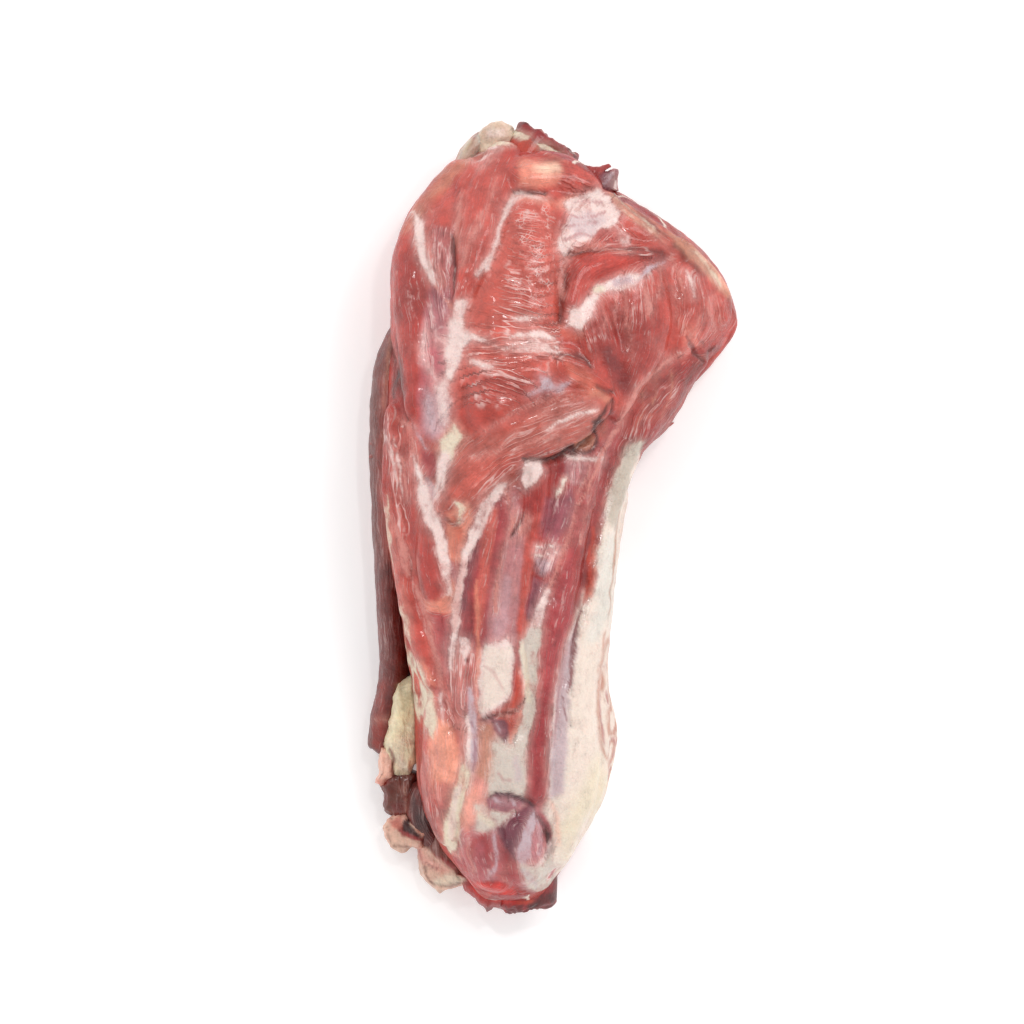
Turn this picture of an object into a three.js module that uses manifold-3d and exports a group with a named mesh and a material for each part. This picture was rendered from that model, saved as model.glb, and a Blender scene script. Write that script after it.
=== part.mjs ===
// A whole raw lamb neck on the bone, lying on its side on a flat surface.
// Millimetres, +Z up. +Y runs from the narrow head end to the broad shoulder end, +X points to the fat-covered
// back of the neck, and the origin lies under the middle of the cut.
// The flesh is one loft between two edge rails, with its muscles raised on it and its loose straps and flaps fused
// to it. The column of neck bones runs through it and shows, sawn, at both ends.
import * as THREE from "three";
import { mergeVertices } from "three/addons/utils/BufferGeometryUtils.js";
import Module from "manifold-3d";

const wasm = await Module();
wasm.setup();

// Fineness of the flesh: steps from end to end, round a section, and from the rim to the middle of a cut face
const STEPS_ALONG = 62;
const STEPS_ROUND = 56;
const CUT_RINGS = 4;
// Fineness of the straps: sides round one, and sections for each point of its path
const STRAP_SIDES = 10;
const STRAP_STEPS = 2;
// Steps along and round of the sheet on which muscles are laid, and steps for each point of a muscle's path
const SHEET_STEPS = 120;
const LAY_STEPS = 4;

// Cross-sections from the head end to the shoulder end. left and right are the section's two edges in plan,
// crown its height, ridge where its crown lies between the edges (-1 to 1), leftEdge and rightEdge how high each
// edge is above the table, and bow how far the section curves out past the straight line between its edges.
const SECTIONS = [
  { left: [-30, -127], right: [0, -128], crown: 37, ridge: -0.1, leftEdge: 17, rightEdge: 18, bow: -5 },
  { left: [-39, -116], right: [7.5, -117.5], crown: 46, ridge: -0.1, leftEdge: 20, rightEdge: 20, bow: -5 },
  { left: [-47, -97], right: [17, -98], crown: 54, ridge: -0.1, leftEdge: 22, rightEdge: 23, bow: -3 },
  { left: [-49, -76], right: [21.5, -78], crown: 58, ridge: -0.1, leftEdge: 24, rightEdge: 25, bow: -2 },
  { left: [-50, -56], right: [19.5, -60], crown: 60, ridge: -0.1, leftEdge: 25, rightEdge: 26, bow: 0 },
  { left: [-53, -38], right: [19.5, -44], crown: 61, ridge: -0.12, leftEdge: 26, rightEdge: 27, bow: 0 },
  { left: [-57, -18], right: [21, -28], crown: 62, ridge: -0.15, leftEdge: 26, rightEdge: 27, bow: 0 },
  { left: [-59, 4], right: [23, -10], crown: 64, ridge: -0.15, leftEdge: 27, rightEdge: 27, bow: 1 },
  { left: [-59.5, 26], right: [25.5, 8], crown: 66, ridge: -0.15, leftEdge: 28, rightEdge: 27, bow: 2 },
  { left: [-58, 48], right: [30.5, 21], crown: 68, ridge: -0.15, leftEdge: 29, rightEdge: 26, bow: 3 },
  { left: [-56, 70], right: [40, 31], crown: 68, ridge: -0.15, leftEdge: 29, rightEdge: 25, bow: 4 },
  { left: [-55, 89.5], right: [47, 44], crown: 66, ridge: -0.18, leftEdge: 28, rightEdge: 24, bow: 5.5 },
  { left: [-50, 105], right: [53.5, 53.5], crown: 62, ridge: -0.2, leftEdge: 27, rightEdge: 23, bow: 8.5 },
  { left: [-40.5, 116.5], right: [60, 60], crown: 56, ridge: -0.22, leftEdge: 26, rightEdge: 22, bow: 11 },
  { left: [-31, 127], right: [64, 67], crown: 48, ridge: -0.25, leftEdge: 24, rightEdge: 22, bow: 13.5 },
];

// How square a section is over the crown, to the left and to the right of it, and underneath, where it sags flat
const CROWN_LEFT_POWER = 2.3;
const CROWN_RIGHT_POWER = 2.05;
const BELLY_POWER = 3.4;
// The bow's shape between the edges, and how far a cut face swells out in its middle
const BOW_POWER = 4;
const CUT_SWELL = 3;
const CUT_ROUNDING_POWER = 6;

// Muscles that show on the upper side: each follows a path in plan, with half its width and its height above the
// bed at the path's points. A blunt one has a flat back and steep sides.
const MUSCLES = [
  { at: "outer left", path: [[-34, 120], [-44, 109], [-51, 95], [-52, 80], [-50, 64], [-49, 48], [-49, 36]],
    half: [6, 7.5, 7, 7, 6.5, 5.5, 3], rise: 4.5, blunt: 2 },
  { at: "inner left", path: [[-30, 122], [-37, 108], [-40, 94], [-39, 80]], half: [5, 6, 5, 3], rise: 3, blunt: 2 },
  { at: "shoulder band", path: [[-18, 126], [-23, 114], [-26, 102], [-29, 90], [-32, 80]],
    half: [6.5, 7, 6.5, 5, 3], rise: 4, blunt: 2 },
  { at: "shoulder knob", path: [[-9, 120], [2, 121], [12, 118]], half: [7, 7.5, 6], rise: 4.5, blunt: 2.5 },
  { at: "wrinkled pad", path: [[-8, 106], [-9, 94], [-12, 80], [-15, 66], [-15, 52], [-19, 38]],
    half: [8, 9, 13, 15, 15, 11], rise: 4.5, blunt: 2.5 },
  { at: "tongue", path: [[6, 74], [8, 82], [15, 88], [26, 91], [37, 92]], half: [3.5, 5, 5, 4, 2], rise: 4, blunt: 2 },
  { at: "silver hollow", path: [[8, 97], [13, 105], [19, 110]], half: [6, 8, 5], rise: 2, blunt: 2.5 },
  { at: "corner", path: [[24, 105], [32, 100], [42, 94]], half: [5, 5, 4], rise: 2.5, blunt: 2 },
  { at: "lobe rim", path: [[46, 94], [54, 88], [58, 80], [60, 71]], half: [5, 6, 5, 4], rise: 2.5, blunt: 2 },
  { at: "lobe left", path: [[13, 72], [16, 60], [18, 50], [21, 41]], half: [6, 7, 6, 4], rise: 4, blunt: 2 },
  { at: "lobe middle", path: [[31, 82], [32, 69], [30, 57], [26, 46], [22, 36]], half: [8, 10, 9, 6, 3], rise: 5, blunt: 2 },
  { at: "lobe right", path: [[49, 83], [50, 71], [46, 61]], half: [7, 9, 6], rise: 4, blunt: 2 },
  { at: "lobe tail", path: [[51, 54], [42, 45], [34, 35], [27, 22], [22, 8], [17, -8], [13, -24]],
    half: [5, 8, 9, 8, 5, 4, 3], rise: 4, blunt: 2 },
  { at: "folded flap", path: [[-36, 4], [-29, 13], [-18, 23], [-4, 30], [8, 35], [16, 39]],
    half: [6, 8, 9.5, 9.5, 8, 5], rise: 7, blunt: 4 },
  { at: "flap's neighbour", path: [[4, 53], [12, 49], [18, 45]], half: [6, 6, 4], rise: 4, blunt: 2 },
  { at: "left flank", path: [[-56, 36], [-56, 18], [-55, 0], [-53, -16], [-50, -32], [-46, -46], [-42, -58]],
    half: [4, 6, 6, 5.5, 5, 4.5, 3], rise: 4.5, blunt: 2 },
  { at: "forked muscle", path: [[-42, -2], [-43, -14], [-41, -26]], half: [5, 6, 6], rise: 3, blunt: 2.5 },
  { at: "long strips", path: [[-22, 4], [-26, -14], [-28, -32], [-28, -50], [-27, -66]],
    half: [4, 4.5, 4.5, 4, 3], rise: 3, blunt: 2 },
  { at: "silver strip", path: [[-15, 12], [-18, -4], [-20, -24], [-20, -42], [-20, -58], [-21, -68]],
    half: [3, 4.5, 5, 5.5, 5.5, 4], rise: 3.5, blunt: 2 },
  { at: "orange strip", path: [[-7, 16], [-8, 0], [-10, -20], [-12, -40], [-12, -58], [-13, -70]],
    half: [4, 4, 4, 3.5, 4, 4.5], rise: 4, blunt: 2 },
  { at: "inner strip", path: [[6, 18], [4, 2], [-1, -14], [-5, -30]], half: [5, 5, 4, 3], rise: 2.5, blunt: 2 },
  { at: "rosy muscle", path: [[15, 22], [11, 6], [7, -10], [3, -28], [-1, -46], [-3, -64], [-4, -80], [-6, -96]],
    half: [3, 4, 5, 5.5, 5, 4.5, 4.5, 4], rise: 4, blunt: 2 },
  { at: "fat band", path: [[23, 6], [19, -14], [15, -36], [11, -58], [9, -80], [8, -100], [3, -117]],
    half: [5, 6, 7.5, 9, 10, 9, 7], rise: 3, blunt: 3 },
  { at: "lower left", path: [[-41, -68], [-40, -82], [-41, -96], [-38, -110]], half: [5, 8, 8, 6], rise: 4.5, blunt: 2 },
  { at: "lower middle", path: [[-27, -76], [-26, -90], [-28, -102]], half: [5, 5.5, 5], rise: 2.5, blunt: 2 },
  { at: "pale hollow", path: [[-14, -82], [-15, -92]], half: [6, 7], rise: 2, blunt: 2 },
  { at: "end left", path: [[-27, -112], [-22, -126]], half: [7, 8], rise: 3.5, blunt: 2 },
  { at: "end right", path: [[-12, -108], [-8, -124]], half: [6, 7], rise: 2.5, blunt: 2 },
];

// Muscles underneath, raised the same way, which the table presses flat where they touch it
const UNDER_MUSCLES = [
  { at: "under left", path: [[-44, 108], [-46, 70], [-48, 30], [-46, -20], [-38, -70], [-30, -112]],
    half: [8, 11, 12, 11, 9, 7], rise: 4, blunt: 2 },
  { at: "under middle", path: [[-8, 118], [-16, 70], [-22, 20], [-20, -30], [-16, -80], [-16, -116]],
    half: [10, 15, 15, 13, 11, 8], rise: 4, blunt: 2 },
  { at: "under right", path: [[28, 92], [18, 50], [6, 12], [6, -30], [8, -76], [-2, -112]],
    half: [14, 14, 11, 12, 11, 7], rise: 4, blunt: 2 },
];

// Straps and flaps that hang off the flesh. Each follows a path in space; half is half its width and half its
// thickness at each point, the width lying level.
const STRAPS = [
  { at: "back strap", path: [[-51, 74, 26], [-57, 52, 25], [-58.5, 26, 24], [-57, 0, 22], [-55, -28, 20], [-54, -54, 17],
      [-57, -70, 15], [-59, -81, 14]],
    half: [[4, 8], [6, 12], [6.5, 13], [6, 12], [5, 11], [4.5, 10], [5, 9], [6, 7]] },
  { at: "pink knob", path: [[-57, -76, 14], [-60, -84, 13], [-59.5, -91, 11]], half: [[3, 4], [3.2, 5], [2.5, 3.5]] },
  { at: "yellow fat", path: [[-47, -58, 24], [-51, -74, 22], [-52, -88, 18], [-54, -98, 14]],
    half: [[4, 8], [5.5, 10], [6, 10], [5, 8]] },
  { at: "grey skin", path: [[-48, -86, 16], [-54, -95, 13], [-54, -104, 11]], half: [[6, 8], [6, 8], [4.5, 6]] },
  { at: "dark cut", path: [[-44, -94, 22], [-46, -106, 18], [-40, -119, 14]], half: [[6, 12], [7.5, 11], [6, 8]] },
  { at: "red groove", path: [[-49, -99, 13], [-52, -107, 10], [-50, -113, 8]], half: [[4, 6], [5, 6], [3, 4]] },
  { at: "pale lip", path: [[-48, -104, 14], [-54.5, -107, 13], [-56.5, -111, 11], [-53, -114, 9], [-45, -113, 9]],
    half: [[3, 5], [2.6, 5], [2.6, 5], [2.6, 4.5], [3, 4]] },
  { at: "pale flap", path: [[-37, -110, 13], [-39, -119, 12], [-38, -126, 10]], half: [[6, 8], [8, 7], [6.5, 4.5]] },
  { at: "head tip", path: [[-27, -124, 18], [-24, -131, 16], [-21.5, -135, 14]], half: [[6, 12], [6, 10], [3, 5]] },
  { at: "shoulder tag", path: [[6, 113, 44], [14, 117, 43], [21.5, 119.5, 42]], half: [[5, 4], [4.5, 3], [2, 1.2]] },
  { at: "lobe margin", path: [[51, 84, 24], [59, 75, 22], [62, 67, 21], [55, 57.5, 20], [46, 48.5, 19]],
    half: [[5, 7], [3.2, 5], [2.6, 3.5], [3, 4], [4, 5]] },
  { at: "lobe tag", path: [[33, 33, 24], [38, 31.5, 23], [41, 32, 22]], half: [[4, 4], [2, 2], [0.8, 0.8]] },
  { at: "left tag", path: [[-55, 27, 34], [-61, 23.5, 31], [-64.5, 21.5, 29]], half: [[3, 3], [2.2, 2], [1, 1]] },
  { at: "shoulder fat", path: [[-33, 119, 29], [-28, 128, 30], [-22, 133.5, 30], [-14, 133.5, 31]],
    half: [[4, 9], [4, 10], [3.5, 9], [3, 7]] },
];

// The neck bones as one column: centre, half width in plan, half height, and the turn of the section in plan
const BONE_STATIONS = [
  { centre: [-10, -137.2, 20], half: [10, 10], turn: 4 },
  { centre: [-11, -118, 23], half: [11, 11], turn: 2 },
  { centre: [-15, -70, 29], half: [12, 12], turn: -4 },
  { centre: [-17, 0, 33], half: [13, 13], turn: -12 },
  { centre: [-17, 70, 34], half: [13, 13], turn: -22 },
  { centre: [-10, 116, 33], half: [13, 13], turn: -29 },
  { centre: [-3.5, 131, 31], half: [12, 12], turn: -29 },
];
// Fineness of the bone: sections from end to end, and sides round one
const BONE_STEPS = 10;
const BONE_SIDES = 20;
// The bone keeps this far from the flesh round it, whose channel for it is cut out past both ends
const BONE_CLEARANCE = 0.3;
const CHANNEL_OVERRUN = 12;
// The bone's outline swells into three knuckles
const KNUCKLES = 3;
const KNUCKLE_SWELL = 0.12;
// The canal for the spinal cord opens at each cut end, towards the back of the neck, and narrows inwards
const CANAL_RADIUS = 4.5;
const CANAL_TAPER = 0.8;
const CANAL_DEPTH = 14;
const CANAL_SHIFT = 3.5;
const CANAL_SIDES = 14;

// A strap's end is this share of its size, and its direction is read over this share of its length
const STRAP_TIP = 0.45;
const SLOPE_STEP = 0.01;
// Points nearer together than this are one point
const MERGE_DISTANCE = 1e-3;

const MEAT_COLOUR = 0xb8584f;
const MEAT_ROUGHNESS = 0.38;
const BONE_COLOUR = 0xd9b9a2;
const BONE_ROUGHNESS = 0.55;

// A spline through numbers or through lists of numbers, one for each section or path point
function splineOf(rows) {
  const lists = rows.map((row) => [row].flat());
  const curves = lists[0].map((_, k) => new THREE.SplineCurve(lists.map((row, i) => new THREE.Vector2(i, row[k]))));
  return (t) => curves.map((curve) => curve.getPoint(t).y);
}

const leftRail = splineOf(SECTIONS.map((section) => section.left));
const rightRail = splineOf(SECTIONS.map((section) => section.right));
const sectionShape = splineOf(
  SECTIONS.map(({ crown, ridge, leftEdge, rightEdge, bow }) => [crown, ridge, leftEdge, rightEdge, bow]),
);

// A point on the bed of the flesh. along runs from the head end (0) to the shoulder end (1), turn goes once round
// the section from the right edge over the crown, and inwards (1 at the rim, 0 in the middle) crosses a cut face.
function bedPoint(along, turn, inwards = 1, swell = 0) {
  const [crown, ridge, leftEdge, rightEdge, bow] = sectionShape(along);
  const angle = turn * 2 * Math.PI;
  const across = Math.cos(angle);
  const up = Math.sin(angle);
  const sidePower = across > 0 ? CROWN_RIGHT_POWER : CROWN_LEFT_POWER;
  const power = up > 0 ? sidePower : BELLY_POWER;
  const reach = Math.sign(across) * Math.abs(across) ** (2 / power);
  const lift = Math.sign(up) * Math.abs(up) ** (2 / power);
  const rimPlace = reach > 0 ? ridge + (1 - ridge) * reach : ridge + (1 + ridge) * reach;
  const edgeAt = (place) => THREE.MathUtils.lerp(leftEdge, rightEdge, (place + 1) / 2);
  const rimHeight = edgeAt(rimPlace) * (1 + Math.min(lift, 0)) + (crown - edgeAt(rimPlace)) * Math.max(lift, 0);
  const place = THREE.MathUtils.lerp(ridge, rimPlace, inwards);
  const height = THREE.MathUtils.lerp(crown / 2, rimHeight, inwards);
  const left = new THREE.Vector2(...leftRail(along));
  const right = new THREE.Vector2(...rightRail(along));
  const outwards = new THREE.Vector2(left.y - right.y, right.x - left.x).normalize();
  const spot = left.lerp(right, (place + 1) / 2);
  spot.addScaledVector(outwards, bow * (1 - Math.abs(place) ** BOW_POWER));
  spot.addScaledVector(outwards, swell * (1 - inwards ** CUT_ROUNDING_POWER));
  return new THREE.Vector3(spot.x, spot.y, height);
}

function middleOf(points) {
  return points.reduce((sum, point) => sum.add(point), new THREE.Vector3()).divideScalar(points.length);
}

// A closed mesh from rings of points, from the first ring's middle to the last one's
function skinOf(rings, firstMiddle, lastMiddle) {
  const sides = rings[0].length;
  const points = [...rings.flat(), firstMiddle, lastMiddle];
  const firstMiddleIndex = points.length - 2;
  const lastMiddleIndex = points.length - 1;
  const faces = [];
  for (let side = 0; side < sides; side += 1) {
    const next = (side + 1) % sides;
    faces.push(firstMiddleIndex, side, next);
    for (let ring = 0; ring + 1 < rings.length; ring += 1) {
      const a = ring * sides + side;
      const b = ring * sides + next;
      faces.push(a, a + sides, b, b, a + sides, b + sides);
    }
    const lastRing = (rings.length - 1) * sides;
    faces.push(lastMiddleIndex, lastRing + next, lastRing + side);
  }
  const geometry = new THREE.BufferGeometry();
  geometry.setAttribute("position", new THREE.Float32BufferAttribute(points.flatMap((p) => p.toArray()), 3));
  geometry.setIndex(faces);
  return geometry;
}

// The bed of the flesh with both cut faces
function fleshBed() {
  const turns = Array.from({ length: STEPS_ROUND }, (_, i) => i / STEPS_ROUND);
  const rings = [];
  for (let ring = 1; ring < CUT_RINGS; ring += 1) {
    rings.push(turns.map((turn) => bedPoint(0, turn, Math.sqrt(ring / CUT_RINGS), -CUT_SWELL)));
  }
  for (let step = 0; step <= STEPS_ALONG; step += 1) {
    rings.push(turns.map((turn) => bedPoint(step / STEPS_ALONG, turn)));
  }
  for (let ring = CUT_RINGS - 1; ring > 0; ring -= 1) {
    rings.push(turns.map((turn) => bedPoint(1, turn, Math.sqrt(ring / CUT_RINGS), CUT_SWELL)));
  }
  return skinOf(rings, bedPoint(0, 0, 0, -CUT_SWELL), bedPoint(1, 0, 0, CUT_SWELL));
}

// Points of the bed on its upper or under side, among which a path in plan finds its height
function sheetOfBed(under) {
  const points = [];
  for (let i = 0; i <= SHEET_STEPS; i += 1) {
    for (let j = 0; j <= SHEET_STEPS; j += 1) {
      points.push(bedPoint(i / SHEET_STEPS, (j / SHEET_STEPS + (under ? 1 : 0)) / 2));
    }
  }
  return points;
}

// A muscle's path laid on the bed, with half its width at each of its points
function layOnBed(muscle, sheet) {
  const steps = muscle.path.length * LAY_STEPS;
  const plan = splineOf(muscle.path);
  const half = splineOf(muscle.half);
  return Array.from({ length: steps + 1 }, (_, i) => {
    const [x, y] = plan(i / steps);
    let best = sheet[0];
    for (const point of sheet) {
      if (Math.hypot(point.x - x, point.y - y) < Math.hypot(best.x - x, best.y - y)) best = point;
    }
    return { point: new THREE.Vector3(x, y, best.z), half: half(i / steps)[0] };
  });
}

// How high a laid muscle stands at a point of the bed: a rounded back over its width, nothing beside it
function muscleHeight(muscle, spot) {
  let nearest = Infinity;
  const segment = new THREE.Line3();
  const foot = new THREE.Vector3();
  for (let i = 0; i + 1 < muscle.laid.length; i += 1) {
    segment.set(muscle.laid[i].point, muscle.laid[i + 1].point);
    const share = segment.closestPointToPointParameter(spot, true);
    segment.at(share, foot);
    const half = THREE.MathUtils.lerp(muscle.laid[i].half, muscle.laid[i + 1].half, share);
    nearest = Math.min(nearest, foot.distanceTo(spot) / half);
  }
  return nearest < 1 ? muscle.rise * (1 - nearest ** muscle.blunt) ** (1 / muscle.blunt) : 0;
}

// Raises every muscle along the bed's normals, and keeps the flesh above the table
function raiseMuscles(geometry) {
  const upperSide = sheetOfBed(false);
  const underSide = sheetOfBed(true);
  const laid = [
    ...MUSCLES.map((muscle) => ({ ...muscle, laid: layOnBed(muscle, upperSide) })),
    ...UNDER_MUSCLES.map((muscle) => ({ ...muscle, laid: layOnBed(muscle, underSide) })),
  ];
  geometry.computeVertexNormals();
  const { position, normal } = geometry.attributes;
  const spot = new THREE.Vector3();
  const out = new THREE.Vector3();
  const raised = [];
  for (let i = 0; i < position.count; i += 1) {
    spot.fromBufferAttribute(position, i);
    out.fromBufferAttribute(normal, i);
    const height = laid.reduce((highest, muscle) => Math.max(highest, muscleHeight(muscle, spot)), 0);
    spot.addScaledVector(out, height);
    raised.push(spot.x, spot.y, Math.max(spot.z, 0));
  }
  geometry.setAttribute("position", new THREE.Float32BufferAttribute(raised, 3));
  geometry.deleteAttribute("normal");
  return geometry;
}

// A strap: rounded sections along a path in space, closing to a blunt tip at each end
function strapGeometry(strap) {
  const steps = strap.path.length * STRAP_STEPS;
  const centre = splineOf(strap.path);
  const size = splineOf(strap.half);
  const rings = [];
  for (let step = 0; step <= steps; step += 1) {
    const t = step / steps;
    const here = new THREE.Vector3(...centre(t));
    const ahead = new THREE.Vector3(...centre(Math.min(t + SLOPE_STEP, 1)));
    const behind = new THREE.Vector3(...centre(Math.max(t - SLOPE_STEP, 0)));
    const forward = ahead.sub(behind).normalize();
    const level = new THREE.Vector3(-forward.y, forward.x, 0).normalize();
    const upwards = new THREE.Vector3().crossVectors(level, forward);
    const [width, thickness] = size(t);
    const tip = step === 0 || step === steps ? STRAP_TIP : 1;
    rings.push(
      Array.from({ length: STRAP_SIDES }, (_, side) => {
        const angle = (side / STRAP_SIDES) * 2 * Math.PI;
        const point = here.clone();
        point.addScaledVector(level, Math.cos(angle) * width * tip);
        point.addScaledVector(upwards, Math.sin(angle) * thickness * tip);
        point.z = Math.max(point.z, 0);
        return point;
      }),
    );
  }
  return skinOf(rings, middleOf(rings[0]), middleOf(rings[rings.length - 1]));
}

const boneCentre = splineOf(BONE_STATIONS.map((station) => station.centre));
const boneHalf = splineOf(BONE_STATIONS.map((station) => station.half));
const boneTurn = splineOf(BONE_STATIONS.map((station) => station.turn));

// A section of the bone column, grown by a clearance
function boneRing(t, grown) {
  const centre = boneCentre(t);
  const [halfWidth, halfHeight] = boneHalf(t);
  const [turn] = boneTurn(t);
  const plan = THREE.MathUtils.degToRad(turn);
  return Array.from({ length: BONE_SIDES }, (_, side) => {
    const angle = (side / BONE_SIDES) * 2 * Math.PI;
    const swell = 1 + KNUCKLE_SWELL * Math.cos(KNUCKLES * angle);
    const level = Math.cos(angle) * (halfWidth * swell + grown);
    const height = Math.sin(angle) * (halfHeight * swell + grown);
    return new THREE.Vector3(centre[0] + level * Math.cos(plan), centre[1] + level * Math.sin(plan), centre[2] + height);
  });
}

// The ring at one end of the bone, moved out along the bone
function movedOut(ring, next, distance) {
  const outwards = middleOf(ring).sub(middleOf(next)).setZ(0).setLength(distance);
  return ring.map((point) => point.clone().add(outwards));
}

// The bone column, or with a clearance the channel that it fills, which runs out past both ends
function boneGeometry(grown, overrun) {
  const rings = Array.from({ length: BONE_STEPS + 1 }, (_, step) => boneRing(step / BONE_STEPS, grown));
  if (overrun > 0) {
    rings.unshift(movedOut(rings[0], rings[1], overrun));
    rings.push(movedOut(rings[rings.length - 1], rings[rings.length - 2], overrun));
  }
  return skinOf(rings, middleOf(rings[0]), middleOf(rings[rings.length - 1]));
}

// The mouth of the canal at one end of the bone, towards the back of the neck
function canalGeometry(end) {
  const { centre, turn } = BONE_STATIONS[end === 0 ? 0 : BONE_STATIONS.length - 1];
  const plan = THREE.MathUtils.degToRad(turn);
  const geometry = new THREE.CylinderGeometry(CANAL_RADIUS, CANAL_RADIUS * CANAL_TAPER, CANAL_DEPTH * 2, CANAL_SIDES);
  if (end === 0) geometry.rotateX(Math.PI);
  geometry.rotateZ(plan);
  geometry.translate(centre[0] + CANAL_SHIFT * Math.cos(plan), centre[1] + CANAL_SHIFT * Math.sin(plan), centre[2]);
  return geometry;
}

// A closed geometry as a solid that can be joined and cut, and a solid as a geometry
function toSolid(geometry) {
  const bare = geometry.clone();
  bare.deleteAttribute("normal");
  bare.deleteAttribute("uv");
  const merged = mergeVertices(bare, MERGE_DISTANCE);
  return new wasm.Manifold(
    new wasm.Mesh({
      numProp: 3,
      vertProperties: merged.attributes.position.array,
      triVerts: new Uint32Array(merged.index.array),
    }),
  );
}

function toGeometry(solid) {
  const { vertProperties, triVerts } = solid.getMesh();
  const geometry = new THREE.BufferGeometry();
  geometry.setAttribute("position", new THREE.BufferAttribute(vertProperties, 3));
  geometry.setIndex(new THREE.BufferAttribute(triVerts, 1));
  return geometry;
}

function named(name, solid, color, roughness) {
  const material = new THREE.MeshStandardMaterial({ color, roughness, metalness: 0 });
  const mesh = new THREE.Mesh(toGeometry(solid), material);
  mesh.name = name;
  return mesh;
}

const flesh = STRAPS.reduce(
  (joined, strap) => joined.add(toSolid(strapGeometry(strap))),
  toSolid(raiseMuscles(fleshBed())),
).subtract(toSolid(boneGeometry(BONE_CLEARANCE, CHANNEL_OVERRUN)));
const bone = [0, 1].reduce((cut, end) => cut.subtract(toSolid(canalGeometry(end))), toSolid(boneGeometry(0, 0)));

const neck = new THREE.Group();
neck.name = "lamb_neck";
neck.add(named("neck_flesh", flesh, MEAT_COLOUR, MEAT_ROUGHNESS));
neck.add(named("neck_bone", bone, BONE_COLOUR, BONE_ROUGHNESS));

export default neck;
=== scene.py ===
# %% [markdown]
# # A raw lamb neck on the bone
# A neck is a column of bones wrapped in long muscles, with seams of fat and thin silver skin between them.
# It lies on its side: the narrow head end points down the picture, the broad shoulder end points up.
# This lesson builds it in the order a butcher would name it: the bed of flesh, the muscles raised on it,
# the loose straps at its side, the sawn bone, and then the colours of meat, fat and skin.

# %% Load the frame
import math

import bpy
import numpy as np
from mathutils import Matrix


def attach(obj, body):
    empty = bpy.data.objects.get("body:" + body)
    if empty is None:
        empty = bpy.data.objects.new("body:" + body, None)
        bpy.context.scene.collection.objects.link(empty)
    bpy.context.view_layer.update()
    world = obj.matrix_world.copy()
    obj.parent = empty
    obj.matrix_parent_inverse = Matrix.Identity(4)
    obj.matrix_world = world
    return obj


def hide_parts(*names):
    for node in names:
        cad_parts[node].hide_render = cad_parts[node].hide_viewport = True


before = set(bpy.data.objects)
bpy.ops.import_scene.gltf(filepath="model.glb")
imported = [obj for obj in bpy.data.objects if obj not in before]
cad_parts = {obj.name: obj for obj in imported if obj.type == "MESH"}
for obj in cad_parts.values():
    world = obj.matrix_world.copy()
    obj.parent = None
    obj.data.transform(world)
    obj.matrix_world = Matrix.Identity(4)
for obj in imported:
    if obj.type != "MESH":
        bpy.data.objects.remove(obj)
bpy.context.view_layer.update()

MM = 0.001
print("solids in the frame:", sorted(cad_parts))

# %% [markdown]
# ## Curves and soft noise
# Every form here follows a few listed points, so the first helper runs a smooth curve through them.
# Meat has no straight edge and no even tone, so the second helper is a soft random field in space.
# It could come from a texture, but here it also has to move points, and a seeded lattice gives the same
# field in every run.


# %% A smooth curve through rows of numbers
def curve(rows, shares):
    rows = np.array([np.atleast_1d(row) for row in rows], float)
    last = len(rows) - 1
    place = np.clip(np.atleast_1d(shares), 0, 1) * last
    i = np.minimum(place.astype(int), last - 1)
    f = (place - i)[:, None]
    before, start = rows[np.maximum(i - 1, 0)], rows[i]
    end, after = rows[i + 1], rows[np.minimum(i + 2, last)]
    leave, arrive = (end - before) / 2, (after - start) / 2
    cubic = 2 * start - 2 * end + leave + arrive
    square = -3 * start + 3 * end - 2 * leave - arrive
    return cubic * f**3 + square * f**2 + leave * f + start


# %% Soft noise, from -1 to 1
LATTICE = 32


def noise(points, size, seed):
    """One lump for each size mm; size may differ for each axis."""
    grid = np.random.default_rng(seed).uniform(-1, 1, (LATTICE,) * 3)
    place = points / np.array(size, float) + seed * 7.31
    low = np.floor(place).astype(int)
    f = place - low
    f = f * f * (3 - 2 * f)
    total = 0
    for corner in np.ndindex(2, 2, 2):
        share = np.prod(np.where(corner, f, 1 - f), axis=1)
        i, j, k = ((low + corner) % LATTICE).T
        total = total + share * grid[i, j, k]
    return total


def rough_noise(points, size, seed, octaves=3):
    size = np.array(size, float)
    return sum(noise(points, size / 2**n, seed + n) / 2**n for n in range(octaves))


def noises(points, size, seeds):
    """Rough noise in a column for each seed, to move points by."""
    return np.column_stack([rough_noise(points, size, seed) for seed in seeds])


def smooth_step(low, high, value):
    share = np.clip((value - low) / (high - low), 0, 1)
    return share * share * (3 - 2 * share)
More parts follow.
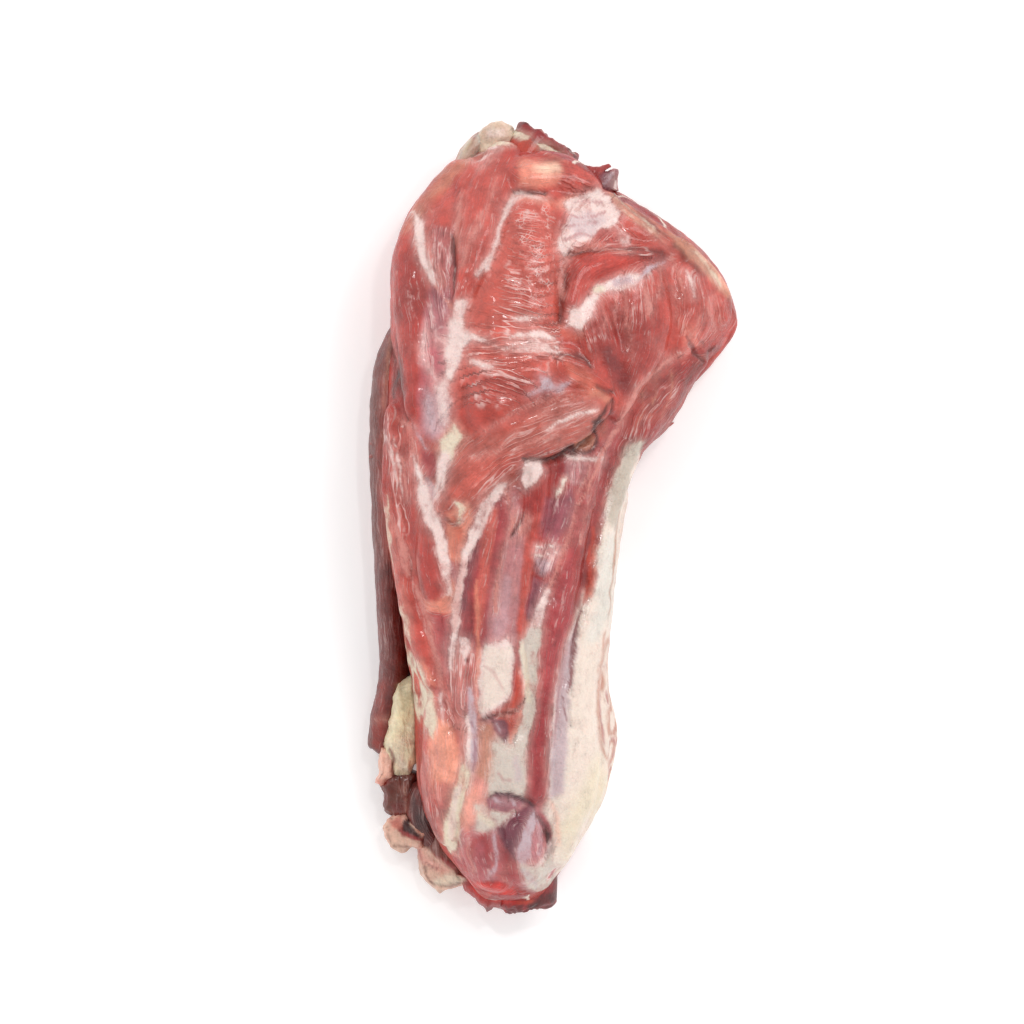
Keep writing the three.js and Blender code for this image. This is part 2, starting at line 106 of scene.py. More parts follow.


# %% [markdown]
# ## The bed of flesh
# Under its muscles the neck is one long swelling form. It is lofted: each section is a rounded outline
# between a left and a right edge point on the table's plan, and the sections fan out round the bend at the
# shoulder. A lattice or a sculpt could do this too, but sections keep every size readable. The numbers are
# millimetres.

# %% The sections, from the head end to the shoulder end
# left x, left y, right x, right y, crown height, ridge place, left edge height, right edge height, bow
SECTIONS = [
    (-30, -127, 0, -128, 37, -0.1, 17, 18, -5),
    (-39, -116, 7.5, -117.5, 46, -0.1, 20, 20, -5),
    (-47, -97, 18, -98.6, 54, -0.1, 22, 23, -3),
    (-49, -76, 22.4, -78.6, 58, -0.1, 24, 25, -2),
    (-50, -56, 19.5, -60, 60, -0.1, 25, 26, 0),
    (-53, -38, 19.5, -44, 61, -0.12, 26, 27, 0),
    (-57, -18, 21, -28, 62, -0.15, 26, 27, 0),
    (-59, 4, 23, -10, 64, -0.15, 27, 27, 1),
    (-59.5, 26, 25.5, 8, 66, -0.15, 28, 27, 2),
    (-58, 48, 30.5, 21, 68, -0.15, 29, 26, 3),
    (-57.5, 70, 40, 31, 68, -0.15, 29, 25, 4),
    (-56.6, 90, 47.5, 44, 66, -0.18, 28, 24, 5.5),
    (-51.4, 106, 54, 53.5, 62, -0.2, 27, 23, 8.5),
    (-42, 117.5, 60.4, 60.6, 56, -0.22, 26, 22, 11),
    (-31.6, 128, 64.6, 68.4, 48, -0.25, 24, 22, 13.5),
]
CROWN_LEFT_POWER = 2.3
CROWN_RIGHT_POWER = 2.05
BELLY_POWER = 3.4
BOW_POWER = 4
CUT_SWELL = 3
CUT_ROUNDING_POWER = 6

# How finely the skin is cut, from end to end, over the crown, underneath and on each cut face
RINGS = 300
CROWN_POINTS = 212
BELLY_POINTS = 40
CUT_RINGS = 36
MEASURING_POINTS = 300


def bed_points(along, turn, inwards=1.0, swell=0.0):
    """Points of the bed; along and turn are arrays, and a turn starts at the right edge, over the crown."""
    row = curve(SECTIONS, along)
    left, right = row[:, 0:2], row[:, 2:4]
    crown, ridge, left_edge, right_edge, bow = row[:, 4:].T
    across, up = np.cos(turn * 2 * np.pi), np.sin(turn * 2 * np.pi)
    side = np.where(across > 0, CROWN_RIGHT_POWER, CROWN_LEFT_POWER)
    power = np.where(up > 0, side, BELLY_POWER)
    reach = np.sign(across) * np.abs(across) ** (2 / power)
    lift = np.sign(up) * np.abs(up) ** (2 / power)
    rim = np.where(reach > 0, ridge + (1 - ridge) * reach, ridge + (1 + ridge) * reach)
    edge = left_edge + (right_edge - left_edge) * (rim + 1) / 2
    rim_height = edge * (1 + np.minimum(lift, 0)) + (crown - edge) * np.maximum(lift, 0)
    place = ridge + (rim - ridge) * inwards
    height = crown / 2 + (rim_height - crown / 2) * inwards
    out = np.stack([left[:, 1] - right[:, 1], right[:, 0] - left[:, 0]], 1)
    out /= np.linalg.norm(out, axis=1)[:, None]
    spot = left + (right - left) * ((place + 1) / 2)[:, None]
    spot += out * (bow * (1 - np.abs(place) ** BOW_POWER))[:, None]
    spot += out * (swell * (1 - inwards**CUT_ROUNDING_POWER))
    return np.column_stack([spot, height])


# %% [markdown]
# The points over the crown are spread evenly by arc length, because a plain turn would crowd them at the
# edges and leave the broad back coarse, just where the seams of fat need sharp borders.


# %% Rings of the bed, evenly spread over the crown
def even_turns(along):
    half = np.linspace(0, 0.5, MEASURING_POINTS)
    over = bed_points(np.full(MEASURING_POINTS, along), half)
    length = np.r_[0, np.cumsum(np.linalg.norm(np.diff(over, axis=0), axis=1))]
    crown = np.interp(np.linspace(0, length[-1], CROWN_POINTS, endpoint=False), length, half)
    belly = 0.5 + 0.5 * np.arange(BELLY_POINTS) / BELLY_POINTS
    return np.r_[crown, belly]


def bed_rings():
    """The whole bed as rings of points, with the part of the neck that each ring belongs to."""
    rings, parts = [], []
    inner = np.sqrt(np.arange(1, CUT_RINGS) / CUT_RINGS)
    turns = even_turns(0.0)
    for inwards in inner:
        rings.append(bed_points(np.zeros_like(turns), turns, inwards, -CUT_SWELL))
        parts.append(-1)
    for along in np.linspace(0, 1, RINGS):
        turns = even_turns(along)
        rings.append(bed_points(np.full_like(turns, along), turns))
        parts.append(0)
    for inwards in inner[::-1]:
        rings.append(bed_points(np.ones_like(turns), turns, inwards, CUT_SWELL))
        parts.append(1)
    return np.array(rings), np.array(parts)


def tube_faces(rings, sides):
    """Faces of a closed skin of rings whose two middle points come last."""
    ring, side = np.meshgrid(np.arange(rings - 1), np.arange(sides), indexing="ij")
    after = (side + 1) % sides
    quads = np.stack([ring * sides + side, (ring + 1) * sides + side,
                      (ring + 1) * sides + after, ring * sides + after], -1).reshape(-1, 4)
    first, last = rings * sides, rings * sides + 1
    edge = np.arange(sides)
    start_fan = np.stack([np.full(sides, first), edge, (edge + 1) % sides], 1)
    top = (rings - 1) * sides
    end_fan = np.stack([np.full(sides, last), top + (edge + 1) % sides, top + edge], 1)
    return quads, np.vstack([start_fan, end_fan])


def vertex_normals(points, quads, fans):
    """Area-weighted normals; both kinds of face go into one sum."""
    triangles = np.vstack([quads[:, [0, 1, 2]], quads[:, [0, 2, 3]], fans])
    a, b, c = (points[triangles[:, k]] for k in range(3))
    flat = np.cross(b - a, c - a)
    total = np.zeros_like(points)
    for k in range(3):
        for axis in range(3):
            total[:, axis] += np.bincount(triangles[:, k], flat[:, axis], len(points))
    return total / np.maximum(np.linalg.norm(total, axis=1), 1e-9)[:, None]


rings, ring_parts = bed_rings()
SIDES = rings.shape[1]
bed = np.vstack([rings.reshape(-1, 3), bed_points(np.zeros(1), np.zeros(1), 0.0, -CUT_SWELL),
                 bed_points(np.ones(1), np.zeros(1), 0.0, CUT_SWELL)])
bed_quads, bed_fans = tube_faces(len(rings), SIDES)
part_of = np.r_[np.repeat(ring_parts, SIDES), -1, 1]
over_crown = np.r_[np.tile(np.arange(SIDES) <= CROWN_POINTS, len(rings)), False, False]
bed_out = vertex_normals(bed, bed_quads, bed_fans)
print("bed of flesh:", len(bed), "points,", np.round(np.ptp(bed, axis=0)), "mm")

# %% [markdown]
# ## The muscles
# Each muscle is a rounded ridge along a path. All of them are raised on the bed together and the highest
# wins, which leaves a crease wherever two meet, as in real meat. The same path also gives each point its
# grain: how far it lies across the muscle and how far along it. The fibres, streaks and small folds follow
# that grain later. Separate tubes would need a join at every crease, and a sculpt would have no grain.

# %% The muscles: colour, rise, bluntness, and path points of x, y, half width
MUSCLES = [
    ("bright", 4.0, 2, [(-34, 120, 6), (-44, 109, 7.5), (-51, 95, 7), (-52, 80, 7), (-50, 64, 6.5), (-49, 48, 5.5),
        (-49, 36, 3)]),
    ("bright", 2.6, 2, [(-30, 122, 5), (-37, 108, 6), (-40, 94, 5), (-39, 80, 3), (-38, 68, 1)]),
    ("bright", 3.6, 2, [(-18, 126, 6.5), (-23, 114, 7), (-26, 102, 6.5), (-29, 90, 5), (-32, 79, 3), (-34, 68, 1)]),
    ("bright", 4.5, 2.5, [(-9, 120, 7), (2, 121, 7.5), (12, 118, 6)]),
    ("meat", 4.0, 2.5, [(-8, 106, 8), (-9, 94, 9), (-12, 80, 13), (-15, 66, 15), (-15, 52, 15), (-19, 38, 11)]),
    ("tongue", 4.0, 2, [(6, 74, 3.5), (8, 82, 5), (15, 88, 5), (26, 91, 4), (37, 92, 2)]),
    ("bright", 2.0, 2.5, [(8, 97, 6), (13, 105, 8), (19, 110, 5)]),
    ("meat", 2.5, 2, [(24, 105, 5), (32, 100, 5), (42, 94, 4)]),
    ("bright", 2.5, 2, [(46, 94, 5), (54, 88, 6), (58, 80, 5), (60, 71, 4)]),
    ("meat", 3.4, 2, [(13, 72, 6), (16, 60, 7), (18, 50, 6), (21, 41, 4)]),
    ("meat", 4.4, 2, [(31, 82, 8), (32, 69, 10), (30, 57, 9), (26, 46, 6), (22, 36, 3)]),
    ("bright", 3.4, 2, [(49, 83, 7), (50, 71, 9), (46, 61, 6)]),
    ("deep", 3.6, 2, [(51, 54, 5), (42, 45, 8), (34, 35, 9), (27, 22, 8), (22, 8, 5), (17, -8, 4), (13, -24, 3)]),
    ("flap", 7.0, 4, [(-36, 4, 6), (-29, 13, 8), (-18, 23, 9.5), (-4, 30, 9.5), (8, 35, 8), (16, 39, 5)]),
    ("meat", 3.6, 2, [(4, 53, 6), (12, 49, 6), (18, 45, 4)]),
    ("meat", 4.0, 2, [(-56, 36, 4), (-56, 18, 6), (-55, 0, 6), (-53, -16, 5.5), (-50, -32, 5), (-46, -46, 4.5),
        (-42, -58, 3)]),
    ("meat", 3.0, 2.5, [(-42, -2, 5), (-43, -14, 6), (-41, -26, 6)]),
    ("rosy", 2.6, 2, [(-19, 4, 4), (-23.5, -14, 4.5), (-27, -32, 4.8), (-29, -50, 4.5), (-30, -66, 4)]),
    ("silver", 3.0, 2, [(-13, 6, 3), (-14, -8, 3.6), (-16, -24, 4.4), (-18, -42, 5.2), (-20, -58, 5.5),
        (-21, -68, 4)]),
    ("orange_meat", 3.4, 2, [(-5, 16, 4), (-6, 0, 3.4), (-9.5, -20, 2.2), (-12, -40, 2.2), (-12, -58, 3),
        (-14, -70, 4.5)]),
    ("rosy", 2.5, 2, [(6, 18, 5), (4, 2, 5), (-1, -14, 4), (-5, -30, 3)]),
    ("rosy", 3.6, 2, [(15, 22, 3), (11, 6, 4), (7, -10, 5), (3, -28, 5.5), (-1, -46, 5), (-3, -64, 4.5),
        (-4, -80, 4.5), (-6, -96, 4)]),
    ("fat", 2.8, 3, [(23, 6, 5), (19, -14, 6), (15, -36, 7.5), (11, -58, 9), (9, -80, 10), (8, -100, 9),
        (3, -117, 7)]),
    ("meat", 4.2, 2, [(-41, -68, 5), (-40, -82, 8), (-41, -96, 8), (-38, -110, 6)]),
    ("pink", 2.5, 2, [(-27, -76, 5), (-26, -90, 5.5), (-28, -102, 5)]),
    ("pale", 2.0, 2, [(-14, -82, 6), (-15, -92, 7)]),
    ("end_meat", 3.5, 2, [(-27, -112, 7), (-22, -126, 8)]),
    ("end_meat", 2.5, 2, [(-12, -108, 6), (-8, -124, 7)]),
]
UNDER_MUSCLES = [
    ("meat", 4, 2, [(-44, 108, 8), (-46, 70, 11), (-48, 30, 12), (-46, -20, 11), (-38, -70, 9), (-30, -112, 7)]),
    ("meat", 4, 2, [(-8, 118, 10), (-16, 70, 15), (-22, 20, 15), (-20, -30, 13), (-16, -80, 11), (-16, -116, 8)]),
    ("deep", 4, 2, [(28, 92, 14), (18, 50, 14), (6, 12, 11), (6, -30, 12), (8, -76, 11), (-2, -112, 7)]),
]
# The wrinkled pad's place in the list: its folds run across it, so its grain is turned
PAD = 4


# %% How far points lie from a path, and where along it
def follow(points, path, halves):
    """Relative distance (1 at the path's border), signed distance to its side, and length along it."""
    relative = np.full(len(points), np.inf)
    sideways = np.zeros(len(points))
    along = np.zeros(len(points))
    done = 0.0
    for a, b, half_a, half_b in zip(path[:-1], path[1:], halves[:-1], halves[1:]):
        step = b - a
        length = np.linalg.norm(step)
        share = np.clip((points - a) @ step / length**2, 0, 1)
        away = points - a - share[:, None] * step
        distance = np.linalg.norm(away, axis=1)
        here = distance / (half_a + (half_b - half_a) * share)
        nearer = here < relative
        turned = step[0] * away[:, 1] - step[1] * away[:, 0]
        relative = np.where(nearer, here, relative)
        sideways = np.where(nearer, distance * np.sign(turned), sideways)
        along = np.where(nearer, done + share * length, along)
        done += length
    return relative, sideways, along


def smooth_path(rows, spacing=3.0):
    rows = np.array(rows, float)
    length = np.linalg.norm(np.diff(rows[:, :2], axis=0), axis=1).sum()
    return curve(rows, np.linspace(0, 1, max(3, int(length / spacing))))


def lay_on(path, sheet):
    """Heights of a path's points, read off the nearest points of a sheet."""
    gaps = ((path[:, None, :2] - sheet[None, :, :2]) ** 2).sum(2)
    return np.column_stack([path[:, :2], sheet[gaps.argmin(1), 2]])


# %% Raise the muscles
NEAR = 2.2  # a muscle's reach, in half widths
RELIEF = 0.8
TONE_FALL = 7  # how fast a muscle's tone gives way to its neighbour's
GRAIN_GAP = 11.0  # keeps the streaks of two muscles apart
CREASE_SHARE = 0.12


def spread(values, passes):
    """Average with the neighbouring points of the skin, that many times."""
    sheet = values[:-2].reshape(len(rings), SIDES, -1)
    for _ in range(passes):
        sideways = (np.roll(sheet, 1, 1) + np.roll(sheet, -1, 1)) / 2
        lengthwise = (np.concatenate([sheet[:1], sheet[:-1]]) + np.concatenate([sheet[1:], sheet[-1:]])) / 2
        sheet = (2 * sheet + sideways + lengthwise) / 4
    done = values.copy()
    done[:-2] = sheet.reshape(done[:-2].shape)
    return done


def raise_muscles(points, crown_side):
    """Height of the muscles over each point, and each point's muscle, grain and share of every muscle."""
    height = np.zeros(len(points))
    closest = np.full(len(points), 2 * NEAR)
    second = np.full(len(points), 2 * NEAR)
    owner = np.full(len(points), -1)
    grain = np.column_stack([points[:, 0], points[:, 1], np.zeros(len(points))])
    tint = np.zeros((len(points), 3))
    weight = np.zeros(len(points))
    body = part_of == 0
    for index, (colour, rise, blunt, rows) in enumerate(MUSCLES + UNDER_MUSCLES):
        under = index >= len(MUSCLES)
        sheet = points[body & (crown_side != under)][::3]
        path = smooth_path(rows)
        laid = lay_on(path, sheet)
        reach = NEAR * path[:, 2].max()
        low, high = laid.min(0) - reach, laid.max(0) + reach
        near = np.flatnonzero(np.all((points > low) & (points < high), axis=1))
        relative, sideways, along = follow(points[near], laid, path[:, 2])
        top = np.where(relative < 1, RELIEF * rise * (1 - np.minimum(relative, 1) ** blunt) ** (1 / blunt), 0)
        height[near] = np.maximum(height[near], top)
        share = np.exp(-TONE_FALL * relative)
        tint[near] += share[:, None] * TONES[colour]
        weight[near] += share
        won = relative < closest[near]
        second[near] = np.where(won, closest[near], np.minimum(second[near], relative))
        mine = near[won]
        closest[mine] = relative[won]
        owner[mine] = index
        across, lengthwise = (along, sideways) if index == PAD else (sideways, along)
        grain[mine] = np.column_stack([across[won], lengthwise[won], np.full(won.sum(), index * GRAIN_GAP)])
    share = np.exp(-TONE_FALL * NEAR)
    tint += share * TONES["meat"]
    clear = smooth_step(0.0, CREASE_SHARE, second - closest)
    return height, owner, grain, tint / (weight + share)[:, None], closest, clear


# %% [markdown]
# ## Colours
# Raw lamb is a rosy brown-red rather than a bright red, its fat is cream with a little lilac where skin
# covers it, and the head end turns purple. The colours are named once, as screen values from 0 to 255, and
# turned into the linear values that a shader wants.


# %% The palette
def linear(colour):
    share = np.array(colour, float) / 255
    return np.where(share <= 0.04045, share / 12.92, ((share + 0.055) / 1.055) ** 2.4)


SCREEN_TONES = {
    "meat": (188, 93, 86), "bright": (194, 98, 91), "deep": (162, 80, 73), "tongue": (184, 87, 81),
    "flap": (190, 109, 100), "rosy": (172, 87, 89), "silver": (191, 132, 133), "orange_meat": (196, 104, 95),
    "fat": (240, 222, 209), "pink": (214, 146, 137), "pale": (217, 203, 192), "end_meat": (182, 108, 112),
    "orange": (229, 146, 126), "white": (243, 217, 211), "cream": (234, 218, 196), "yellow": (238, 222, 188),
    "lilac": (205, 181, 187), "purple": (158, 104, 112), "plum": (126, 80, 90), "shade": (134, 60, 56),
    # The darkest red at the end of the next line is blood, and also painted shadow under the folded flap and in a
    # crease
    "brown": (124, 62, 50), "tan": (197, 140, 120), "membrane": (122, 84, 70), "blood": (92, 28, 24),
    "red": (168, 62, 54), "marrow": (150, 46, 50), "bone": (224, 194, 170), "grey_fat": (200, 187, 173),
    "salmon": (246, 168, 146), "rust": (190, 88, 66), "magenta": (188, 112, 118), "olive": (208, 192, 152),
    # The near-white cream that starts the next line is a painted highlight on the knob's crown
    "glow": (252, 226, 200), "pad": (211, 114, 104), "ivory": (230, 222, 212), "pale_lilac": (226, 178, 176),
    "vermilion": (208, 66, 46), "pink_fat": (242, 190, 170), "tan_skin": (226, 186, 166), "scarlet": (160, 30, 24),
}
# What the gloss adds, and how much light falls on the neck, are taken off the screen values
SHEEN = 0.058
LEAST_SHARE = 0.3
LIGHT = 1.1
TONES = {name: np.maximum(linear(colour) - SHEEN, LEAST_SHARE * linear(colour)) / LIGHT
         for name, colour in SCREEN_TONES.items()}
print(len(TONES), "colours")

# Where two muscles meet, heights and tones are smoothed and the streaks of both stop short
height, owner, grain, tint, closest, clear = raise_muscles(bed, over_crown)
sheet = owner[:-2].reshape(len(rings), SIDES)
border = (sheet != np.roll(sheet, 1, 1)) | (sheet != np.roll(sheet, -1, 1))
border[1:] |= sheet[1:] != sheet[:-1]
border[:-1] |= sheet[:-1] != sheet[1:]
unbroken = 1 - np.r_[border.ravel(), 0, 0]
height = spread(height, 4)
tint = spread(tint, 8)
clear = unbroken * spread(clear * unbroken, 1)
seams = spread(1 - unbroken, 2)
print("muscles raised, up to", round(float(height.max()), 1), "mm")

# %% [markdown]
# ## Small relief
# Between the big muscles lie bundles of fibres, lumps and creases. Bundles are noise stretched along the
# grain, and creases are grooves along paths. The wrinkled pad in the middle of the shoulder has real folds
# across it. All of this moves points, so that the outline and the shadows have it too.

# %% Creases: depth, and path points of x, y, half width
CREASES = [
    (1.6, [(-14, 113.2, 0.6), (-9, 112.6, 0.9), (-3, 112.2, 0.5)]),
    (1.2, [(4, 91, 0.6), (14, 92.5, 0.9), (26, 92.6, 0.9), (38, 91, 0.7)]),
    (1.5, [(2, 68, 0.8), (3, 76, 0.9), (4, 84, 0.8)]),
    (2.2, [(-11, 20.5, 0.7), (-6, 19.6, 1.0), (0, 20.4, 1.0), (5, 23.4, 1.0), (7, 22.2, 1.0), (12, 27, 0.9),
        (14, 31.5, 1.0), (18, 36, 0.9), (19, 41, 0.5)]),
    (1.0, [(-58, 62, 0.6), (-56, 54, 0.8), (-53.5, 46, 0.9), (-52.5, 40, 0.7), (-51, 34, 0.4)]),
    (0.8, [(-35, 98, 0.3), (-34.5, 91, 0.7), (-34.2, 84, 0.5), (-34.4, 76, 0.2)]),
    (1.0, [(-10.4, 1, 0.3), (-12.4, -3.4, 0.7), (-15, -7, 0.3)]),
    (0.8, [(9, -36, 0.4), (7.3, -44, 0.5), (6, -52, 0.5), (5.4, -62, 0.3)]),
    (0.8, [(4, -64, 0.3), (4.6, -69, 0.4), (5, -73, 0.3)]),
    (1.2, [(-24, -70, 0.5), (-18, -68.6, 0.6), (-13, -67.4, 0.5), (-10, -63, 0.4)]),
    (1.0, [(46, 61, 0.4), (48.5, 58, 0.7), (51, 55, 0.4)]),
    (1.0, [(1, 56, 0.5), (9, 55.5, 0.7), (12, 52, 0.5)]),
    (0.9, [(14, 45.5, 0.4), (17, 44, 0.7), (19.5, 43.5, 0.4)]),
    (1.0, [(-22, -97, 0.7), (-16, -96.5, 1.0), (-10, -99, 0.9), (-7, -101, 0.6)]),
    (0.7, [(-7, -104, 0.7), (-3, -108, 0.8), (-1, -114, 0.7), (-3, -119, 0.5)]),
]


PLAN_SPACING = 2.0
WOBBLE_SIZE = 3.5


def wobbling(points, wobble, seed):
    """Places in plan, shaken by that many mm, so that no border is even."""
    return points[:, :2] + wobble * noises(points, WOBBLE_SIZE, (50 + seed, 60 + seed))


def in_plan(points, rows, wobble, seed=0):
    """follow() for a path seen from above."""
    path = smooth_path(rows, PLAN_SPACING)
    return follow(wobbling(points, wobble, seed), path[:, :2], path[:, 2])


def from_outline(points, rows, wobble, seed=0):
    """Distance in mm to a closed outline of x, y, below zero inside it."""
    spots = wobbling(points, wobble, seed)
    corners = np.array(rows, float)
    inside = np.zeros(len(points), bool)
    gap = np.full(len(points), np.inf)
    for a, b in zip(corners, np.roll(corners, -1, 0)):
        step = b - a
        share = np.clip((spots - a) @ step / (step @ step), 0, 1)
        gap = np.minimum(gap, np.linalg.norm(spots - a - share[:, None] * step, axis=1))
        crossed = (a[1] > spots[:, 1]) != (b[1] > spots[:, 1])
        side = (b[0] - a[0]) * (spots[:, 1] - a[1]) - (spots[:, 0] - a[0]) * (b[1] - a[1])
        inside ^= crossed & ((side > 0) == (b[1] > a[1]))
    return np.where(inside, -gap, gap)


def near_path(points, rows, reach):
    rows = np.array(rows, float)
    low, high = rows[:, :2].min(0) - reach, rows[:, :2].max(0) + reach
    return np.flatnonzero(np.all((points[:, :2] > low) & (points[:, :2] < high), axis=1))


# %% Move the points
from_above = over_crown & (part_of == 0)
# Height, size and seed of the lumps, and of the bundles of fibres across and along the grain
LUMPS = [(0.55, 17, 3), (0.25, 6, 5)]
BUNDLES = [(0.28, (4.2, 34, 5), 8), (0.16, (2.3, 22, 5), 9)]
lumps = sum(tall * rough_noise(bed, size, seed) for tall, size, seed in LUMPS)
bundles = clear * sum(tall * noise(grain, size, seed) for tall, size, seed in BUNDLES)

# Folds across the wrinkled pad, fading out at its border and at both its ends
FOLD_HEIGHT = 1.2
FOLD_BEND = 1.6
pad_depth = smooth_step(1.2, 0.6, closest) * (owner == PAD)
fold_strength = smooth_step(38, 50, bed[:, 1]) * (1 - 0.5 * smooth_step(66, 84, bed[:, 1]))
bent = bed.copy()
bent[:, 1] += FOLD_BEND * rough_noise(bed, (11, 7, 9), 21)
folds = np.abs(noise(bent, (17, 3.4, 12), 22)) + 0.6 * np.abs(noise(bent, (12, 2.1, 12), 23))
fold_relief = pad_depth * fold_strength * (0.3 - folds) * FOLD_HEIGHT

CREASE_REACH = 5
CREASE_WOBBLE = 0.35
CREASE_WIDTH = 1.3
creased = np.zeros(len(bed))
groove = np.zeros(len(bed))
for depth, rows in CREASES:
    near = near_path(bed, rows, CREASE_REACH)
    near = near[from_above[near]]
    relative = in_plan(bed[near], rows, CREASE_WOBBLE)[0]
    shape = np.exp(-(relative / CREASE_WIDTH) ** 2)
    groove[near] = np.maximum(groove[near], depth * shape)
    creased[near] = np.maximum(creased[near], shape)

skin = bed + bed_out * (height + lumps + bundles + fold_relief - groove)[:, None]
skin[:, 2] = np.maximum(skin[:, 2], 0)
print("skin:", np.round(skin.min(0), 1), np.round(skin.max(0), 1))

# %% [markdown]
# ## Painting the skin
# The seams of fat, the silver skin and the painted shade in the folds each follow a path too, chosen on the
# real cut. A stroke has a tone, a strength, a fade in mm and points of x, y, half width, or of x, y alone where
# it fills the outline that they go round. A lean stroke tints the flesh, a laid one lays fat or skin over it, a
# glazed one tints both, and a wiped one takes the pale layer off. Wrinkled and cracked strokes have no tone:
# they say where thin skin gathers into pale threads and where it cracks, and both get painted highlights. The
# pale layer stays a separate amount, so that the shader can fray its border along the fibres: a border painted
# straight into the points would be no sharper than the mesh.


# %% The kinds of stroke
def with_tone(kind):
    return lambda tone, strength, fade, *rows: (kind, tone, strength, fade, rows)


def without_tone(kind):
    return lambda strength, fade, *rows: (kind, None, strength, fade, rows)


lean, laid, glazed = map(with_tone, ("lean", "laid", "glazed"))
wiped, wrinkled, cracked = map(without_tone, ("wiped", "threads", "crackle"))
HAIR_END = 0.3


def hair(tone, strength, fade, start, on, end, middle=0.4):
    """A laid stroke through three places, as thin as a hair at its ends."""
    return laid(tone, strength, fade, (*start, HAIR_END), (*on, middle), (*end, HAIR_END))


# %% Strokes of the shoulder end
NOTCH = [(-42, 101), (-37, 100), (-34.8, 88), (-34.5, 76), (-40, 74), (-42, 84)]
SHOULDER = [
    lean("tan", 0.7, 3, (-53, 98), (-49, 107), (-43, 115), (-36, 123), (-31, 128), (-29, 125), (-38, 114),
        (-46, 105)),
    lean("deep", 0.7, 3, (-49, 96), (-45, 84), (-44, 68), (-48, 60), (-55, 70), (-56, 88)),
    lean("bright", 0.6, 3, (-45, 110), (-40, 112), (-37, 102), (-40, 96), (-44, 100)),
    lean("deep", 0.7, 1.5, (-34, 118, 0.8), (-34.6, 105, 0.8), (-34.6, 94, 1.2), (-34, 84, 0.8)),
    lean("shade", 0.6, 1, (-34.6, 97, 0.3), (-34.4, 90, 0.5), (-34.4, 80, 0.3)),
    lean("silver", 0.5, 2.5, *NOTCH),
    wrinkled(1, 2.5, *NOTCH),
    lean("salmon", 0.6, 2.5, (-12, 124), (-6, 124.6), (0, 124), (3, 120), (1, 115.6), (-6, 114.6), (-12, 115.6)),
    # A painted highlight on the crown of the knob
    lean("glow", 0.85, 5.5, (-5, 121.2, 0.4), (-2, 121.6, 0.8), (1, 121.8, 0.5)),
    lean("red", 0.5, 2.5, (-4, 126.6, 0.8), (4, 125, 1.2), (10, 122.6, 1.5), (16, 119.6, 1)),
    lean("bright", 1, 2.5, (3, 124), (12, 122), (17, 117), (12, 115), (2, 115), (4, 119)),
    wrinkled(0.7, 2, (0, 117.6), (12, 118), (14, 114), (4, 113)),
    lean("shade", 0.8, 0.7, (-14, 113.2, 0.3), (-9, 112.8, 0.5), (-3, 112.4, 0.3)),
    lean("orange", 0.7, 2, (-14, 111, 0.8), (-6, 110.2, 1), (1, 108.6, 1.4), (7, 111, 1)),
    lean("red", 0.4, 2, (0, 108, 0.8), (3, 104, 1.2), (3, 99, 0.8)),
    lean("red", 0.5, 2.5, (-22, 130), (-12, 130), (-2, 127), (6, 125), (2, 123.4), (-12, 125.4), (-20, 127)),
    laid("cream", 0.9, 1.2, (-27, 131), (-21, 134), (-14, 133), (-14, 130.6), (-19, 129.6), (-24, 128.6)),
    laid("white", 0.9, 0.7, (-29, 126.6, 0.3), (-25, 128, 0.5), (-20, 129, 0.4)),
    hair("white", 0.7, 0.6, (-27.6, 123.6), (-24, 125.6), (-20.6, 127)),
    hair("pink", 0.7, 0.6, (-26, 121.6), (-24, 123), (-22, 124.4), middle=0.3),
    laid("cream", 0.95, 0.8, (-6, 131, 0.5), (-1, 129.4, 1.1), (3, 127.2, 1), (5.6, 125, 0.4)),
    laid("pink", 0.8, 1.4, (-32.4, 112, 0.4), (-33.2, 107, 1), (-33.6, 101, 0.8), (-33, 93, 0.4)),
    laid("pink", 0.7, 1.2, (-25, 105, 0.3), (-27, 100, 0.9), (-29.6, 94, 0.5), (-31.6, 87, 0.3)),
    hair("pink", 0.5, 0.8, (-20, 118), (-21.4, 112), (-23, 105)),
    laid("pink", 0.5, 0.8, (-44, 108.6, 0.6), (-42.6, 106, 0.3)),
    laid("white", 1, 1.2, (-49, 105.6), (-45.6, 102.6), (-45, 94), (-43, 87), (-40.6, 81), (-41, 79.4), (-44, 84),
        (-46.4, 90), (-48.2, 97)),
    laid("pink", 0.9, 1.2, (-41, 80.4, 0.4), (-39, 77, 0.5), (-36.6, 74, 0.6), (-34.4, 71, 0.7)),
    hair("pink", 0.6, 0.7, (-42.4, 92), (-41, 87), (-38.6, 82), middle=0.3),
    laid("white", 0.9, 1.4, (-3, 110.6, 0.3), (-8, 111.6, 0.5), (-12, 112, 0.8), (-15.4, 109.4, 0.8),
        (-17.4, 104, 0.6), (-19.6, 98, 0.5), (-21, 92, 0.7), (-23.6, 87, 1.1), (-26.4, 84, 0.4)),
]

